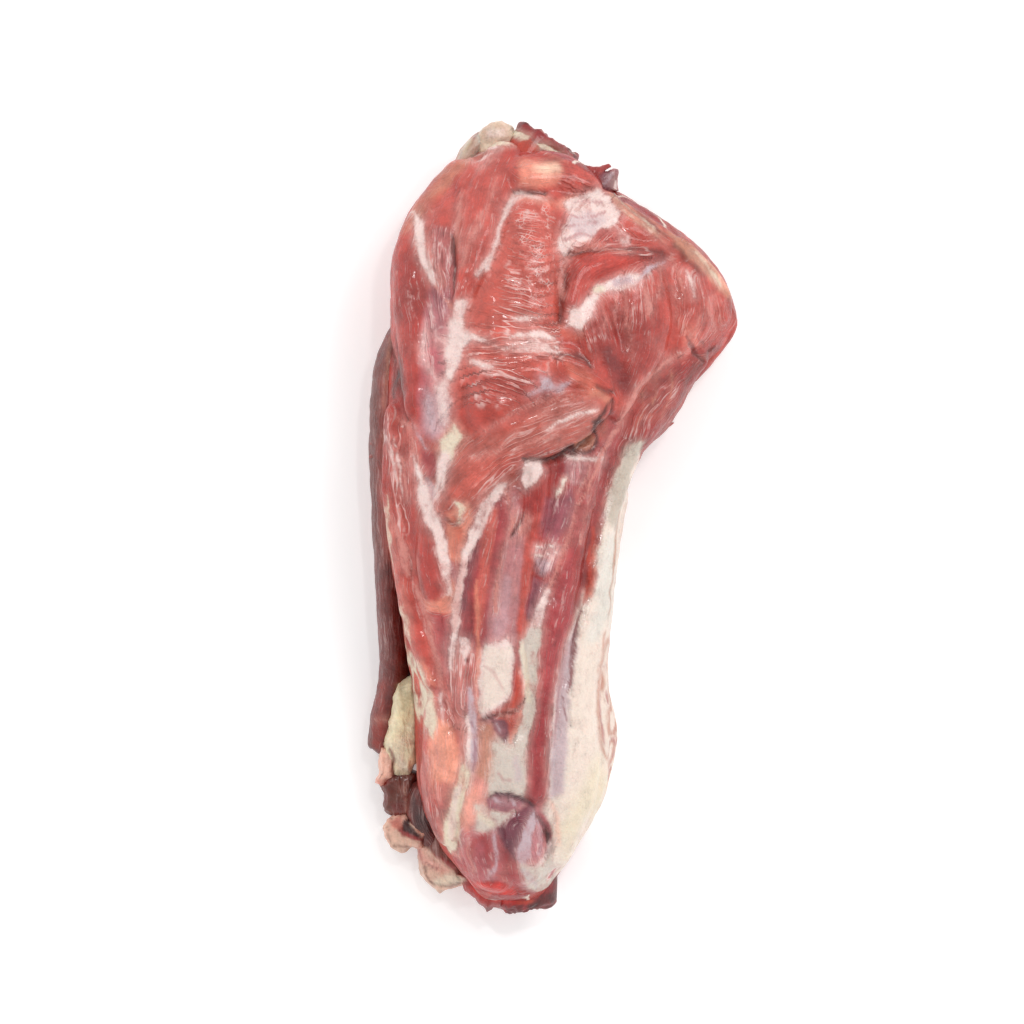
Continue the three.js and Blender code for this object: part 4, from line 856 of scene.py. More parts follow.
# %% Strokes of the band of fat along the back of the neck
FAT_BAND = [
    laid("fat", 1, 0.9, (31, 26), (24, 20), (20.6, 10), (18, 0), (16, -10), (15.4, -20), (15, -27), (10.6, -32),
        (8, -37), (4.6, -46), (2, -56), (0, -66), (-1, -80), (-1.4, -92), (-1, -99), (1.2, -107), (1.6, -114),
        (0, -120), (-1.6, -127), (3, -128), (9, -120), (18, -108), (26, -90), (28, -70), (27, -50), (28, -30),
        (30, -10), (34, 10)),
    glazed("grey_fat", 0.9, 3, (29, 22, 4), (25, 10, 3.5), (22, 0, 3)),
    glazed("ivory", 0.9, 3, (21, -9, 3), (20, -20, 4), (18, -32, 3), (14, -42, 2)),
    glazed("grey_fat", 0.7, 1, (24.6, 0, 0.6), (23.4, -14, 0.8), (21.4, -28, 0.6), (19.6, -38, 0.4)),
    glazed("lilac", 0.85, 2.2, (8, -38), (7, -48), (5.4, -60), (4.6, -72), (4, -86), (3, -96), (-1, -98), (-1, -80),
        (1, -62), (4, -48)),
    glazed("silver", 0.5, 1.2, (5, -44, 0.5), (2.6, -56, 0.7), (1, -68, 0.7), (0, -80, 0.5)),
    glazed("cream", 0.8, 5, (16, -84), (18, -98), (10, -110), (4, -120), (2, -110), (8, -98)),
    glazed("yellow", 0.25, 4, (15, -88, 2), (13, -98, 2), (6, -108, 2)),
    glazed("tan", 0.7, 1, (18.6, -42, 0.4), (16.6, -54, 0.6), (15.6, -64, 0.9), (16.2, -74, 0.9), (17.4, -82, 0.4)),
    glazed("rosy", 0.55, 0.8, (17.6, -58, 0.3), (16.6, -68, 0.7), (18, -78, 0.5)),
    glazed("shade", 0.8, 0.5, (9.4, -33.6, 0.3), (7.8, -40, 0.4), (6.6, -48, 0.5), (5.6, -57, 0.5), (5.2, -61, 0.3)),
    glazed("shade", 0.7, 0.5, (3.4, -63, 0.3), (3.8, -67, 0.5), (4.4, -70.6, 0.3)),
    glazed("tan", 0.6, 0.6, (25.4, 2, 0.3), (24, -10, 0.6), (22, -24, 0.5), (20, -36, 0.4)),
    glazed("salmon", 0.35, 1.2, (-0.6, -100, 0.5), (1.6, -107, 0.6), (1.8, -114, 0.5)),
]

# Thin red meat that shows through at the outer edge of the fat, but not low on its side
FAT_EDGE = [
    glazed("tan", 0.8, 1.4, (19.6, -46, 0.4), (20, -60, 1), (21.4, -76, 1.6), (21, -88, 1.4), (18, -97, 0.6)),
    glazed("rosy", 0.5, 0.8, (20.4, -78, 0.4), (20, -86, 0.8), (18.4, -93, 0.5)),
]

# %% Strokes of the head end
HEAD_RIM = [(-34, -124), (-29.6, -127.8), (-20.5, -127.6), (-15, -129.4), (-9.4, -131.4), (-4.4, -133), (-2, -130.8),
    (0, -129.8), (4, -129.4), (6, -139), (-24, -140), (-38, -130)]
PURPLE_LIP = [(-23, -98), (-20, -96.4), (-14, -97), (-10, -99.4), (-12, -101.6), (-18, -102.6), (-22, -101.6)]
HOLLOW = [(-8, -100), (-6.6, -103), (-9.6, -108), (-12, -115), (-13.4, -120), (-17.6, -114), (-20, -109),
    (-14, -103.6)]
HEAD_END = [
    lean("salmon", 1, 2.5, (-41, -71), (-37, -72), (-33.6, -80), (-33, -88), (-36, -93), (-42, -92), (-44, -82)),
    lean("orange", 0.5, 2.5, (-42, -78, 1), (-43, -88, 1.5), (-42, -95, 1.5)),
    lean("pink", 0.7, 3, (-40, -94), (-34, -93), (-34.6, -100), (-38, -112), (-42, -106)),
    lean("rosy", 0.5, 2.5, (-40, -100), (-37, -99), (-38, -110), (-41, -108)),
    lean("bright", 0.9, 2, (-48, -82), (-45, -80), (-43.6, -94), (-41, -102), (-43, -106), (-49, -94)),
    lean("shade", 0.5, 1.2, (-49.6, -94, 0.5), (-45, -104, 0.8), (-40, -114, 0.8), (-36, -121, 0.5)),
    hair("pink", 0.6, 0.5, (-47, -88), (-45.6, -94), (-45, -99)),
    hair("pink", 0.5, 0.5, (-44.6, -84), (-43.6, -92), (-41.6, -98)),
    hair("pink", 0.6, 0.5, (-41, -80), (-40, -86), (-37.6, -88.6)),
    lean("tan", 0.9, 2, (-26, -72), (-21.6, -72), (-20.6, -84), (-22, -93), (-26.6, -90), (-27, -80)),
    lean("salmon", 0.5, 2.5, (-31, -98), (-26, -94), (-26, -102), (-30, -110), (-33, -106)),
    laid("lilac", 0.85, 0.9, (-29, -60, 0.6), (-28.6, -67, 1.2), (-28, -75, 1.6), (-28.6, -82, 1.8),
        (-29.6, -88, 1.6)),
    laid("white", 0.9, 0.6, (-29.8, -70, 0.4), (-29.4, -78, 0.6), (-30.6, -88, 0.8)),
    glazed("purple", 0.6, 0.4, (-28, -72, 0.3), (-27.4, -80, 0.4), (-28.4, -88, 0.3)),
    laid("cream", 1, 1, (-31.6, -86), (-29.4, -88), (-29.6, -94), (-31.6, -99), (-33, -104), (-33, -110),
        (-33.6, -117), (-34.4, -121), (-37, -119), (-38.6, -112), (-37.6, -105), (-35, -97), (-33, -91)),
    glazed("white", 0.6, 1, (-32.6, -94, 0.6), (-35, -102, 1), (-35.6, -112, 1)),
    glazed("shade", 0.5, 0.4, (-37, -115.4, 0.3), (-34.6, -116.8, 0.3)),
    laid("pink", 0.6, 0.6, (-33, -119, 0.4), (-32, -123, 0.4)),
    laid("pale", 1, 1.6, (-20.6, -79), (-17, -80), (-13, -80), (-10.4, -86), (-10.4, -96), (-15, -95.4), (-23, -96),
        (-22, -88)),
    glazed("silver", 0.5, 0.5, (-19.6, -90, 0.4), (-17.4, -92, 0.5), (-15, -91.6, 0.3)),
    glazed("lilac", 0.5, 1.5, (-13, -84, 1), (-12.4, -91, 1.2)),
    laid("pale", 0.9, 1.5, (-27, -100), (-23, -101), (-18, -104), (-14, -103), (-19, -108), (-23, -110), (-27, -109)),
    glazed("cream", 0.6, 1.5, (-26, -104, 0.8), (-22, -107, 1)),
    wiped(0.95, 0.8, *PURPLE_LIP),
    lean("purple", 0.95, 1.2, *PURPLE_LIP),
    lean("plum", 0.8, 0.6, (-20, -96.6, 0.4), (-14, -97.4, 0.6), (-10.4, -99, 0.6), (-8, -100.6, 0.5)),
    laid("lilac", 0.6, 0.6, (-20.6, -98.4, 0.3), (-18, -99.6, 0.6)),
    laid("lilac", 0.6, 0.5, (-15, -98.4, 0.3), (-13.6, -100.6, 0.5)),
    wiped(1, 1, *HOLLOW),
    lean("plum", 0.95, 1.4, *HOLLOW),
    lean("magenta", 1, 1.2, (-6, -102), (-2, -106), (-0.6, -112), (-3, -119), (-7, -122), (-8, -114), (-7, -107)),
    # Painted highlights: lilac glints in this shiny purple hollow
    laid("lilac", 0.6, 0.8, (-6, -106, 0.4), (-4.4, -112, 0.6), (-5, -118, 0.6)),
    lean("red", 0.4, 0.8, (-5, -104, 0.5), (-2, -108, 0.6), (-3.6, -116, 0.5)),
    # A painted highlight, lilac-white, beside the hollow
    laid("lilac", 1, 0.9, (-7, -102.6), (-6.6, -107), (-8, -112), (-8.6, -119), (-10, -122.6), (-12.6, -120),
        (-11.6, -113), (-9.4, -107)),
    laid("white", 0.9, 0.5, (-1, -114, 0.4), (-2.4, -118, 0.6), (-5, -121.4, 0.6), (-8, -122.6, 0.4)),
    lean("blood", 0.7, 0.5, (-3.4, -110, 0.3), (-2, -111.6, 0.6), (-2, -113.6, 0.3)),
    lean("rosy", 1, 2, (-31, -114), (-24, -111), (-19, -113), (-15, -120), (-10, -124), (-12, -131), (-28, -129),
        (-32, -122)),
    lean("magenta", 0.5, 1.5, (-26, -116, 1.5), (-25, -124, 2), (-20, -128, 1.5)),
    laid("lilac", 0.6, 0.8, (-21, -111, 0.5), (-20, -117, 0.5), (-20.6, -123, 0.6), (-24, -128, 0.3)),
    laid("pink", 0.6, 0.8, (-30, -112, 0.5), (-30, -118, 0.5), (-27.6, -124, 0.3)),
    hair("pink", 0.5, 0.6, (-15, -121), (-18, -126), (-14, -131)),
    laid("pale", 0.9, 1.5, (-11, -122), (-4, -122.6), (-0.6, -118), (0.6, -126), (-2, -132), (-9, -130)),
    glazed("lilac", 0.4, 1, (-10, -124, 0.8), (-7, -128, 0.8)),
    wiped(1, 0.8, *HEAD_RIM),
    lean("red", 1, 1.2, *HEAD_RIM),
    lean("vermilion", 0.9, 1.5, (-28, -129, 0.8), (-20, -130, 1.6), (-14, -132, 1)),
    lean("blood", 0.7, 1.2, (-12, -133.4, 0.6), (-7, -134.6, 1), (-2, -133.4, 1.2), (1, -132, 1)),
]

# %% Where thin skin wrinkles into pale threads, and where it cracks
WRINKLED = [
    wrinkled(0.5, 4, (-28, 10, 3), (-14, 22, 5), (0, 32, 5), (10, 36, 3)),
    wrinkled(0.45, 4, (40, 88), (50, 86), (60, 76), (62, 66), (52, 58), (44, 64)),
    wrinkled(0.6, 4, (30, 84, 3), (32, 72, 3), (24, 68, 4), (14, 64, 4)),
    wrinkled(0.6, 3, (4, 92, 2), (14, 95, 3), (26, 94, 3), (34, 90, 2)),
    wrinkled(0.5, 4, (48, 52, 3), (36, 40, 4), (28, 26, 4), (18, 12, 3)),
    wrinkled(0.5, 3, (8, 16, 4), (2, 4, 3)),
    wrinkled(0.6, 4, (-44, -84, 3), (-42, -98, 4), (-38, -108, 3)),
    wrinkled(0.6, 3, (-5, -106, 2), (-4, -116, 3)),
    wrinkled(0.4, 4, (10, 105, 4), (16, 108, 3)),
]

# %% Lay the strokes on the skin
FLESH_STROKES = WRINKLED + SHOULDER + PAD_STROKES + SILVER + LOBE + FLAP + LEFT + STRIPS + FAT_BAND + HEAD_END
# A stroke's border wobbles along its length and wanders in and out, in mm
WOBBLE = 0.5
UNEVEN = 0.35
UNEVEN_SIZE = 4.5
# The pale layer has a softer border, thins in patches and lies in a pink halo, where skin wrinkles
PALE_FADE = 1.25
PATCH_SIZE = 3.5
PATCH_THINNING = 0.4
HALO = 0.35
HALO_REACH = 2.5
HALO_THREADS = 1.6
MARGIN = 6
# The shares of red, green and blue that painted shade takes off steep lean meat
STEEP_SHADE = np.array([0.05, 0.4, 0.42])


def bare_layers(tint, out):
    """What a surface carries: its tint, the pale layer and its tint, threads, crackle, streaks and water."""
    count = len(tint)
    return {"tint": tint.copy(), "pale": np.zeros(count), "pale_tint": np.tile(TONES["fat"], (count, 1)),
            "threads": np.zeros(count), "crackle": np.zeros(count), "clear": np.ones(count),
            "wet": 0.2 + 0.8 * smooth_step(0.2, 0.7, np.abs(out[:, 2]))}


def shade_steep_sides(layers, out):
    """Painted shade on steep sides of lean meat: a little darker and redder."""
    steep = smooth_step(0.7, 0.25, np.abs(out[:, 2])) * smooth_step(0.34, 0.14, layers["tint"][:, 1])
    layers["tint"] *= 1 - steep[:, None] * STEEP_SHADE


def paint(points, layers, strokes, allowed, seed=0):
    """Lays strokes over the layers of the points that are allowed."""
    tint, amount, pale_tint = layers["tint"], layers["pale"], layers["pale_tint"]
    for kind, tone, strength, fade, rows in strokes:
        near = near_path(points, rows, fade + HALO_REACH + MARGIN)
        near = near[allowed[near]]
        if len(rows[0]) == 2:
            outside = from_outline(points[near], rows, WOBBLE, seed)
        else:
            relative, sideways, _ = in_plan(points[near], rows, WOBBLE, seed)
            outside = np.abs(sideways) * (1 - 1 / np.maximum(relative, 1e-3))
        outside = outside + UNEVEN * rough_noise(points[near], UNEVEN_SIZE, 83)
        soft = PALE_FADE * fade if kind == "laid" else fade
        cover = strength * smooth_step(0.8 * soft, -0.5 * soft, outside)
        if kind in ("lean", "glazed"):
            tint[near] += (TONES[tone] - tint[near]) * cover[:, None]
        if kind == "laid":
            halo = HALO * strength * smooth_step(fade + HALO_REACH, 0, outside)
            tint[near] += ((TONES["pink"] + TONES[tone]) / 2 - tint[near]) * halo[:, None]
            layers["threads"][near] = np.maximum(layers["threads"][near], HALO_THREADS * halo)
            cover *= 1 - PATCH_THINNING * smooth_step(-0.1, 0.6, rough_noise(points[near], PATCH_SIZE, 80))
            mix = cover / np.maximum(np.maximum(amount[near], cover), 1e-3)
            pale_tint[near] += (TONES[tone] - pale_tint[near]) * mix[:, None]
            amount[near] = np.maximum(amount[near], cover)
        if kind == "glazed":
            pale_tint[near] += (TONES[tone] - pale_tint[near]) * cover[:, None]
        if kind == "wiped":
            amount[near] *= 1 - cover
        if kind in ("threads", "crackle"):
            layers[kind][near] = np.maximum(layers[kind][near], cover)


flesh_layers = bare_layers(tint, bed_out)
flesh_layers["clear"] = clear
# A stroke that ends on a steep side would end in an upright line, so there the strokes stray
STRAY = 9
STRAY_SIZE = 15
FAT_EDGE_HEIGHT = 24
steep = smooth_step(0.62, 0.25, bed_out[:, 2])[:, None]
strayed = skin + STRAY * steep * np.pad(noises(skin, STRAY_SIZE, (85, 86)), ((0, 0), (0, 1)))
paint(strayed, flesh_layers, FLESH_STROKES, from_above)
high_enough = skin[:, 2] > FAT_EDGE_HEIGHT + 9 * rough_noise(skin, 9, 84)
paint(strayed, flesh_layers, FAT_EDGE, from_above & high_enough)
print("painted", len(FLESH_STROKES), "strokes")
print("pale share", round(float(flesh_layers["pale"][from_above].mean()), 3))

# %% [markdown]
# ## The sides that the table hides
# The neck is finished all round. Underneath, thin skin and pale seams part the muscles, and the fat of the
# back wraps a little way under. Steep lean sides get painted shade, a little darker and redder. At the two
# ends the knife and the saw went through the meat, so each face there is a cross section: darker patches, one
# for each muscle that was cut, with pale seams between them.

# %% Strokes of the underside
UNDERSIDE = [
    laid("fat", 0.95, 3, (22, 12, 3), (20, -14, 4), (18, -40, 5), (19, -70, 7), (15, -95, 6), (8, -112, 4)),
    glazed("lilac", 0.6, 6, (14, -30, 3), (11, -60, 4), (8, -90, 4)),
    laid("pink", 0.75, 1.5, (-30, 112, 1), (-34, 70, 1.2), (-35, 20, 1), (-33, -30, 1.2), (-28, -80, 1),
        (-24, -112, 1)),
    laid("white", 0.75, 1.8, (8, 96, 1), (2, 60, 1.4), (-7, 20, 1.2), (-8, -30, 1.4), (-6, -70, 1), (-8, -104, 1)),
    lean("silver", 0.7, 6, (-46, 60, 5), (-48, 20, 6), (-46, -20, 5)),
    lean("rosy", 0.6, 8, (-20, 40, 7), (-20, -10, 8), (-16, -60, 6)),
    lean("tan", 0.6, 6, (50, 76, 6), (42, 52, 5), (34, 36, 4)),
]
from_below = ~over_crown & (part_of == 0)
paint(strayed, flesh_layers, UNDERSIDE, from_below, seed=5)


def cross_section(across, up, centres):
    """Which muscle of a cut face each point belongs to, and the seams between them."""
    away = np.hypot(across[:, None] - centres[:, 0], up[:, None] - centres[:, 1])
    ranked = np.sort(away, axis=1)
    return away.argmin(axis=1), smooth_step(1.8, 0.5, ranked[:, 1] - ranked[:, 0])


# The cut faces: the face's turn in plan, and each muscle's middle, across and up
CUTS = {
    -1: (0, [(-34, 14), (-31, 33), (-24, 46), (-14, 40), (-9, 52), (2, 42), (6, 28), (1, 10), (-10, 6),
             (-22, 8), (-23, 24), (-2, 26), (-17, 30)]),
    1: (-29, [(-84, 14), (-72, 34), (-70, 14), (-58, 44), (-54, 20), (-46, 52), (-38, 34), (-42, 10),
              (-24, 48), (-22, 28), (-24, 10), (-8, 40), (-8, 20), (-6, 6), (8, 30), (12, 14)]),
}
CUT_TONES = ["deep", "bright", "red", "rosy", "meat"]
CUT_STRENGTH = 0.85
for end, (turn, centres) in CUTS.items():
    face = part_of == end
    spots = skin[face] + 1.6 * noises(skin[face], 7, (71, 72, 73))
    across = spots[:, 0] * math.cos(math.radians(turn)) + spots[:, 1] * math.sin(math.radians(turn))
    nearest, seam = cross_section(across, spots[:, 2], np.array(centres, float))
    tones = np.array([TONES[CUT_TONES[number % len(CUT_TONES)]] for number in range(len(centres))])
    flesh_layers["tint"][face] = CUT_STRENGTH * tones[nearest]
    flesh_layers["pale"][face] = CUT_STRENGTH * seam * smooth_step(-0.5, 0.1, rough_noise(skin[face], 12, 74))
    flesh_layers["threads"][face] = 0
    flesh_layers["clear"][face] = 0.5

# On the sides and underneath, thin skin and pale seams part the muscles
SEAM_PALENESS = 0.75
SKIN_THREADS = 0.35
hidden = smooth_step(0.75, 0.35, bed_out[:, 2]) * smooth_step(38, 26, skin[:, 2]) * (part_of == 0)
flesh_layers["pale"] = np.maximum(flesh_layers["pale"], SEAM_PALENESS * hidden * seams)
skinned = hidden * smooth_step(-0.3, 0.4, rough_noise(skin, 26, 76))
flesh_layers["threads"] = np.maximum(flesh_layers["threads"], SKIN_THREADS * skinned)

# Creases get painted shade, and broad tones wander a little
CREASE_SHADE = 0.55
wander = 1 + 0.10 * rough_noise(skin, 22, 75) + 0.09 * rough_noise(skin, 7, 77)
flesh_layers["tint"] *= (wander * (1 - CREASE_SHADE * creased))[:, None]
flesh_layers["pale_tint"] *= (1 + 0.03 * rough_noise(skin, 12, 79))[:, None]
shade_steep_sides(flesh_layers, bed_out)
print("underside and cut faces painted")

# %% [markdown]
# ## The loose straps and torn flaps
# At the throat side a dark strap of muscle hangs beside the neck, and at both ends lie knobs of fat and
# ragged lips of skin that the knife left. A strap is a rounded ribbon swept along a path and closed at both
# ends. A curve with a bevel would have the same section all the way; these change width and thickness as
# they go. A flap is known by its torn outline instead, so it is a cushion inside that outline, crumpled by
# noise. Cloth could crumple it too, but not into the same shape each time that its outline is mended.

# %% Sweep a strap along its path
STRAP_SIDES = 36
STRAP_SPACING = 1.3
STRAP_ROUGHNESS = 0.35
TORN = 2.2


def sweep(rows, seed):
    """A strap from rows of x, y, z, half width, half thickness: its points, faces and grain."""
    rows = np.array(rows, float)
    length = np.linalg.norm(np.diff(rows[:, :3], axis=0), axis=1).sum()
    count = max(12, int(length / STRAP_SPACING))
    share = (1 - np.cos(np.linspace(0, np.pi, count))) / 2
    share = 0.5 * share + 0.5 * np.linspace(0, 1, count)
    here = curve(rows, share)
    centre, half = here[:, :3], here[:, 3:]
    forward = np.gradient(centre, axis=0)
    forward /= np.linalg.norm(forward, axis=1)[:, None]
    level = np.column_stack([-forward[:, 1], forward[:, 0], np.zeros(count)])
    level /= np.linalg.norm(level, axis=1)[:, None]
    upwards = np.cross(forward, level)
    from_end = np.minimum(share, 1 - share) * length
    closing = np.sqrt(1 - (1 - np.minimum(from_end / (1.1 * half.min(1)), 1)) ** 2)
    closing = np.maximum(closing, 0.08)
    angle = np.linspace(0, 2 * np.pi, STRAP_SIDES, endpoint=False)
    wide = np.cos(angle)[None, :, None] * (half[:, 0] * closing)[:, None, None] * level[:, None, :]
    tall = np.sin(angle)[None, :, None] * (half[:, 1] * closing)[:, None, None] * upwards[:, None, :]
    ring_points = centre[:, None, :] + wide + tall
    points = np.vstack([ring_points.reshape(-1, 3), centre[0], centre[-1]])
    quads, fans = tube_faces(count, STRAP_SIDES)
    quads, fans = quads[:, ::-1], fans[:, ::-1]
    out = vertex_normals(points, quads, fans)
    lift = STRAP_ROUGHNESS * (rough_noise(points, 5, 90 + seed) + 0.5 * rough_noise(points, 12, 95 + seed))
    points = points + out * lift[:, None]
    ending = np.repeat(smooth_step(4, 0, from_end) * np.sign(share - 0.5), STRAP_SIDES)
    torn = TORN * rough_noise(points[:-2], 2.6, 98 + seed)
    points[:-2] += (ending * torn)[:, None] * np.repeat(forward, STRAP_SIDES, 0)
    points[:, 2] = np.maximum(points[:, 2], 0)
    across = np.repeat(angle[None, :] * half.mean(), count, 0).ravel()
    lengthwise = np.repeat(share * length, STRAP_SIDES)
    grain = np.column_stack([across, lengthwise, np.full(len(across), 400 + 9.0 * seed)])
    return points, quads, fans, np.vstack([grain, grain[:1], grain[-1:]])


# %% The straps: first tone, second tone, and path points of x, y, z, half width, half thickness
STRAPS = {
    "back_strap": ("brown", "brown", [(-50, 78, 27, 1.2, 2.5), (-53, 66, 26, 4, 8), (-57, 52, 25, 6, 12),
        (-58.5, 26, 24, 6.5, 13), (-57.8, 0, 22, 6.2, 12), (-57, -28, 20, 5.6, 11), (-56, -54, 17, 5.4, 10),
        (-58.6, -70, 15, 5.5, 9), (-60.8, -83.6, 14, 5.2, 6)]),
    "dark_cut": ("brown", "blood", [(-44, -92, 18, 6, 10), (-46, -106, 14, 6.4, 9), (-40, -119, 10, 5, 6)]),
    "lobe_margin": ("meat", "deep", [(51, 84, 24, 5, 7), (59, 75, 22, 3.2, 5), (62, 67, 21, 2.6, 3.5),
        (55, 57.5, 20, 3, 4), (46, 48.5, 19, 4, 5)]),
    "lobe_tag": ("deep", "meat", [(33, 33, 24, 4, 4), (38, 31.5, 23, 2, 2), (41, 32, 22, 0.8, 0.8)]),
    "shoulder_fat": ("tan", "grey_fat", [(-34, 117, 29, 4, 9), (-29.5, 127, 30, 3.6, 10), (-24, 133.5, 30, 3, 9)]),
}

# %% The torn flaps: two tones, height of the middle and its slope in x and y, half thickness, and outline
FLAPS = {
    "left_tag": ("pink", "meat", 30, 0.3, 0, 3, [(-54, 28), (-60, 27.6), (-63, 28), (-65, 26), (-63.2, 23.4),
        (-65.2, 20.6), (-61, 19.6), (-57, 16), (-54, 18)]),
    "yellow_fat": ("yellow", "yellow", 19.5, 0, 0.22, 10, [(-55, -58), (-49, -56), (-45, -64), (-46, -80),
        (-48.4, -87), (-51, -92), (-56, -92), (-57.6, -86), (-59.4, -80), (-58, -72)]),
    "pink_knob": ("pink_fat", "pink_fat", 17, 0.2, 0, 6, [(-61, -80.6), (-58, -80.4), (-56, -84), (-56.2, -90),
        (-58.6, -92.6), (-60.4, -94.6), (-62.4, -94), (-61.4, -91), (-62, -86)]),
    "grey_skin": ("membrane", "brown", 13, 0, 0.1, 8, [(-60.4, -91), (-54, -88), (-48, -90), (-47, -100), (-50, -107),
        (-56, -107), (-59.6, -104), (-59.6, -98), (-61.4, -94.6)]),
    "pale_lip": ("tan_skin", "pink_fat", 14, 0.3, 0.1, 6, [(-55, -104.4), (-58.8, -106.6), (-60.2, -110),
        (-59.2, -113.6), (-57.4, -117), (-53, -118.4), (-50, -117), (-46, -117), (-44, -112), (-48, -107),
        (-52, -105)]),
    "pale_flap": ("tan_skin", "tan_skin", 13, 0.3, 0.1, 7, [(-49, -114.6), (-48.2, -120.6), (-47, -126.4),
        (-45, -129.4), (-41.6, -131.4), (-40, -133), (-38, -131.4), (-33, -130.8), (-28.6, -129.4), (-31, -123),
        (-36, -116), (-41, -111)]),
    "head_tip": ("red", "red", 18, 0, 0, 11, [(-34, -126), (-31, -131), (-28.6, -133.6), (-26, -136.4),
        (-23.4, -139.4), (-20.6, -138), (-14, -139), (-13, -128), (-24, -121)]),
    "shoulder_tag": ("red", "deep", 43, 0, 0, 3.6, [(3, 121), (8, 123.2), (13, 122.6), (17, 123.4), (19.4, 123.8),
        (20.6, 122.4), (18, 121.2), (23, 121.2), (22, 118.4), (22.4, 116), (23.4, 113.4), (20, 113.6), (15, 111.6),
        (4, 112)]),
    "cream_cap": ("cream", "bone", 35, 0, 0, 6, [(-28, 130.6), (-26, 134.6), (-22.4, 138), (-17, 138), (-14.6, 136.4),
        (-14, 133), (-15, 129.4), (-19, 126), (-25, 124)]),
}
FLAP_RINGS = 22
FLAP_SPACING = 0.9


def torn_flap(outline, middle, slope_x, slope_y, half, seed):
    """A rounded, crumpled flap inside an outline seen from above: its points, faces and grain."""
    corners = np.array(outline + outline[:1], float)
    steps = np.linalg.norm(np.diff(corners, axis=0), axis=1)
    sides = int(steps.sum() / FLAP_SPACING)
    share = np.linspace(0, 1, sides, endpoint=False)
    ends = np.r_[0, np.cumsum(steps)] / steps.sum()
    rim = np.column_stack([np.interp(share, ends, corners[:, 0]), np.interp(share, ends, corners[:, 1])])
    centre = rim.mean(0)
    sizes = np.sin(np.linspace(0, np.pi, FLAP_RINGS + 2)[1:-1])
    signs = np.where(np.arange(FLAP_RINGS) < FLAP_RINGS / 2, 1, -1)
    plan = centre + sizes[:, None, None] * (rim - centre)
    tall = half * (1 - sizes ** 4) ** (1 / 3) * signs
    level = middle + slope_x * (plan[..., 0] - centre[0]) + slope_y * (plan[..., 1] - centre[1])
    points = np.concatenate([plan, (level + tall[:, None])[..., None]], axis=2).reshape(-1, 3)
    points = np.vstack([points, (*centre, middle + half), (*centre, middle - half)])
    quads, fans = tube_faces(FLAP_RINGS, sides)
    out = vertex_normals(points, quads, fans)
    if (out[:, 2] * (points[:, 2] - middle)).sum() < 0:
        quads, fans, out = quads[:, ::-1], fans[:, ::-1], -out
    crumples = 0.7 * np.abs(rough_noise(points, (3, 7, 5), 160 + seed)) - 0.3
    points = points + out * (0.8 * rough_noise(points, 5, 140 + seed) + crumples)[:, None]
    points[:, 2] = np.maximum(points[:, 2], 0)
    grain = np.column_stack([points[:, :2], np.full(len(points), 600 + 9.0 * seed)])
    return points, quads, fans, grain


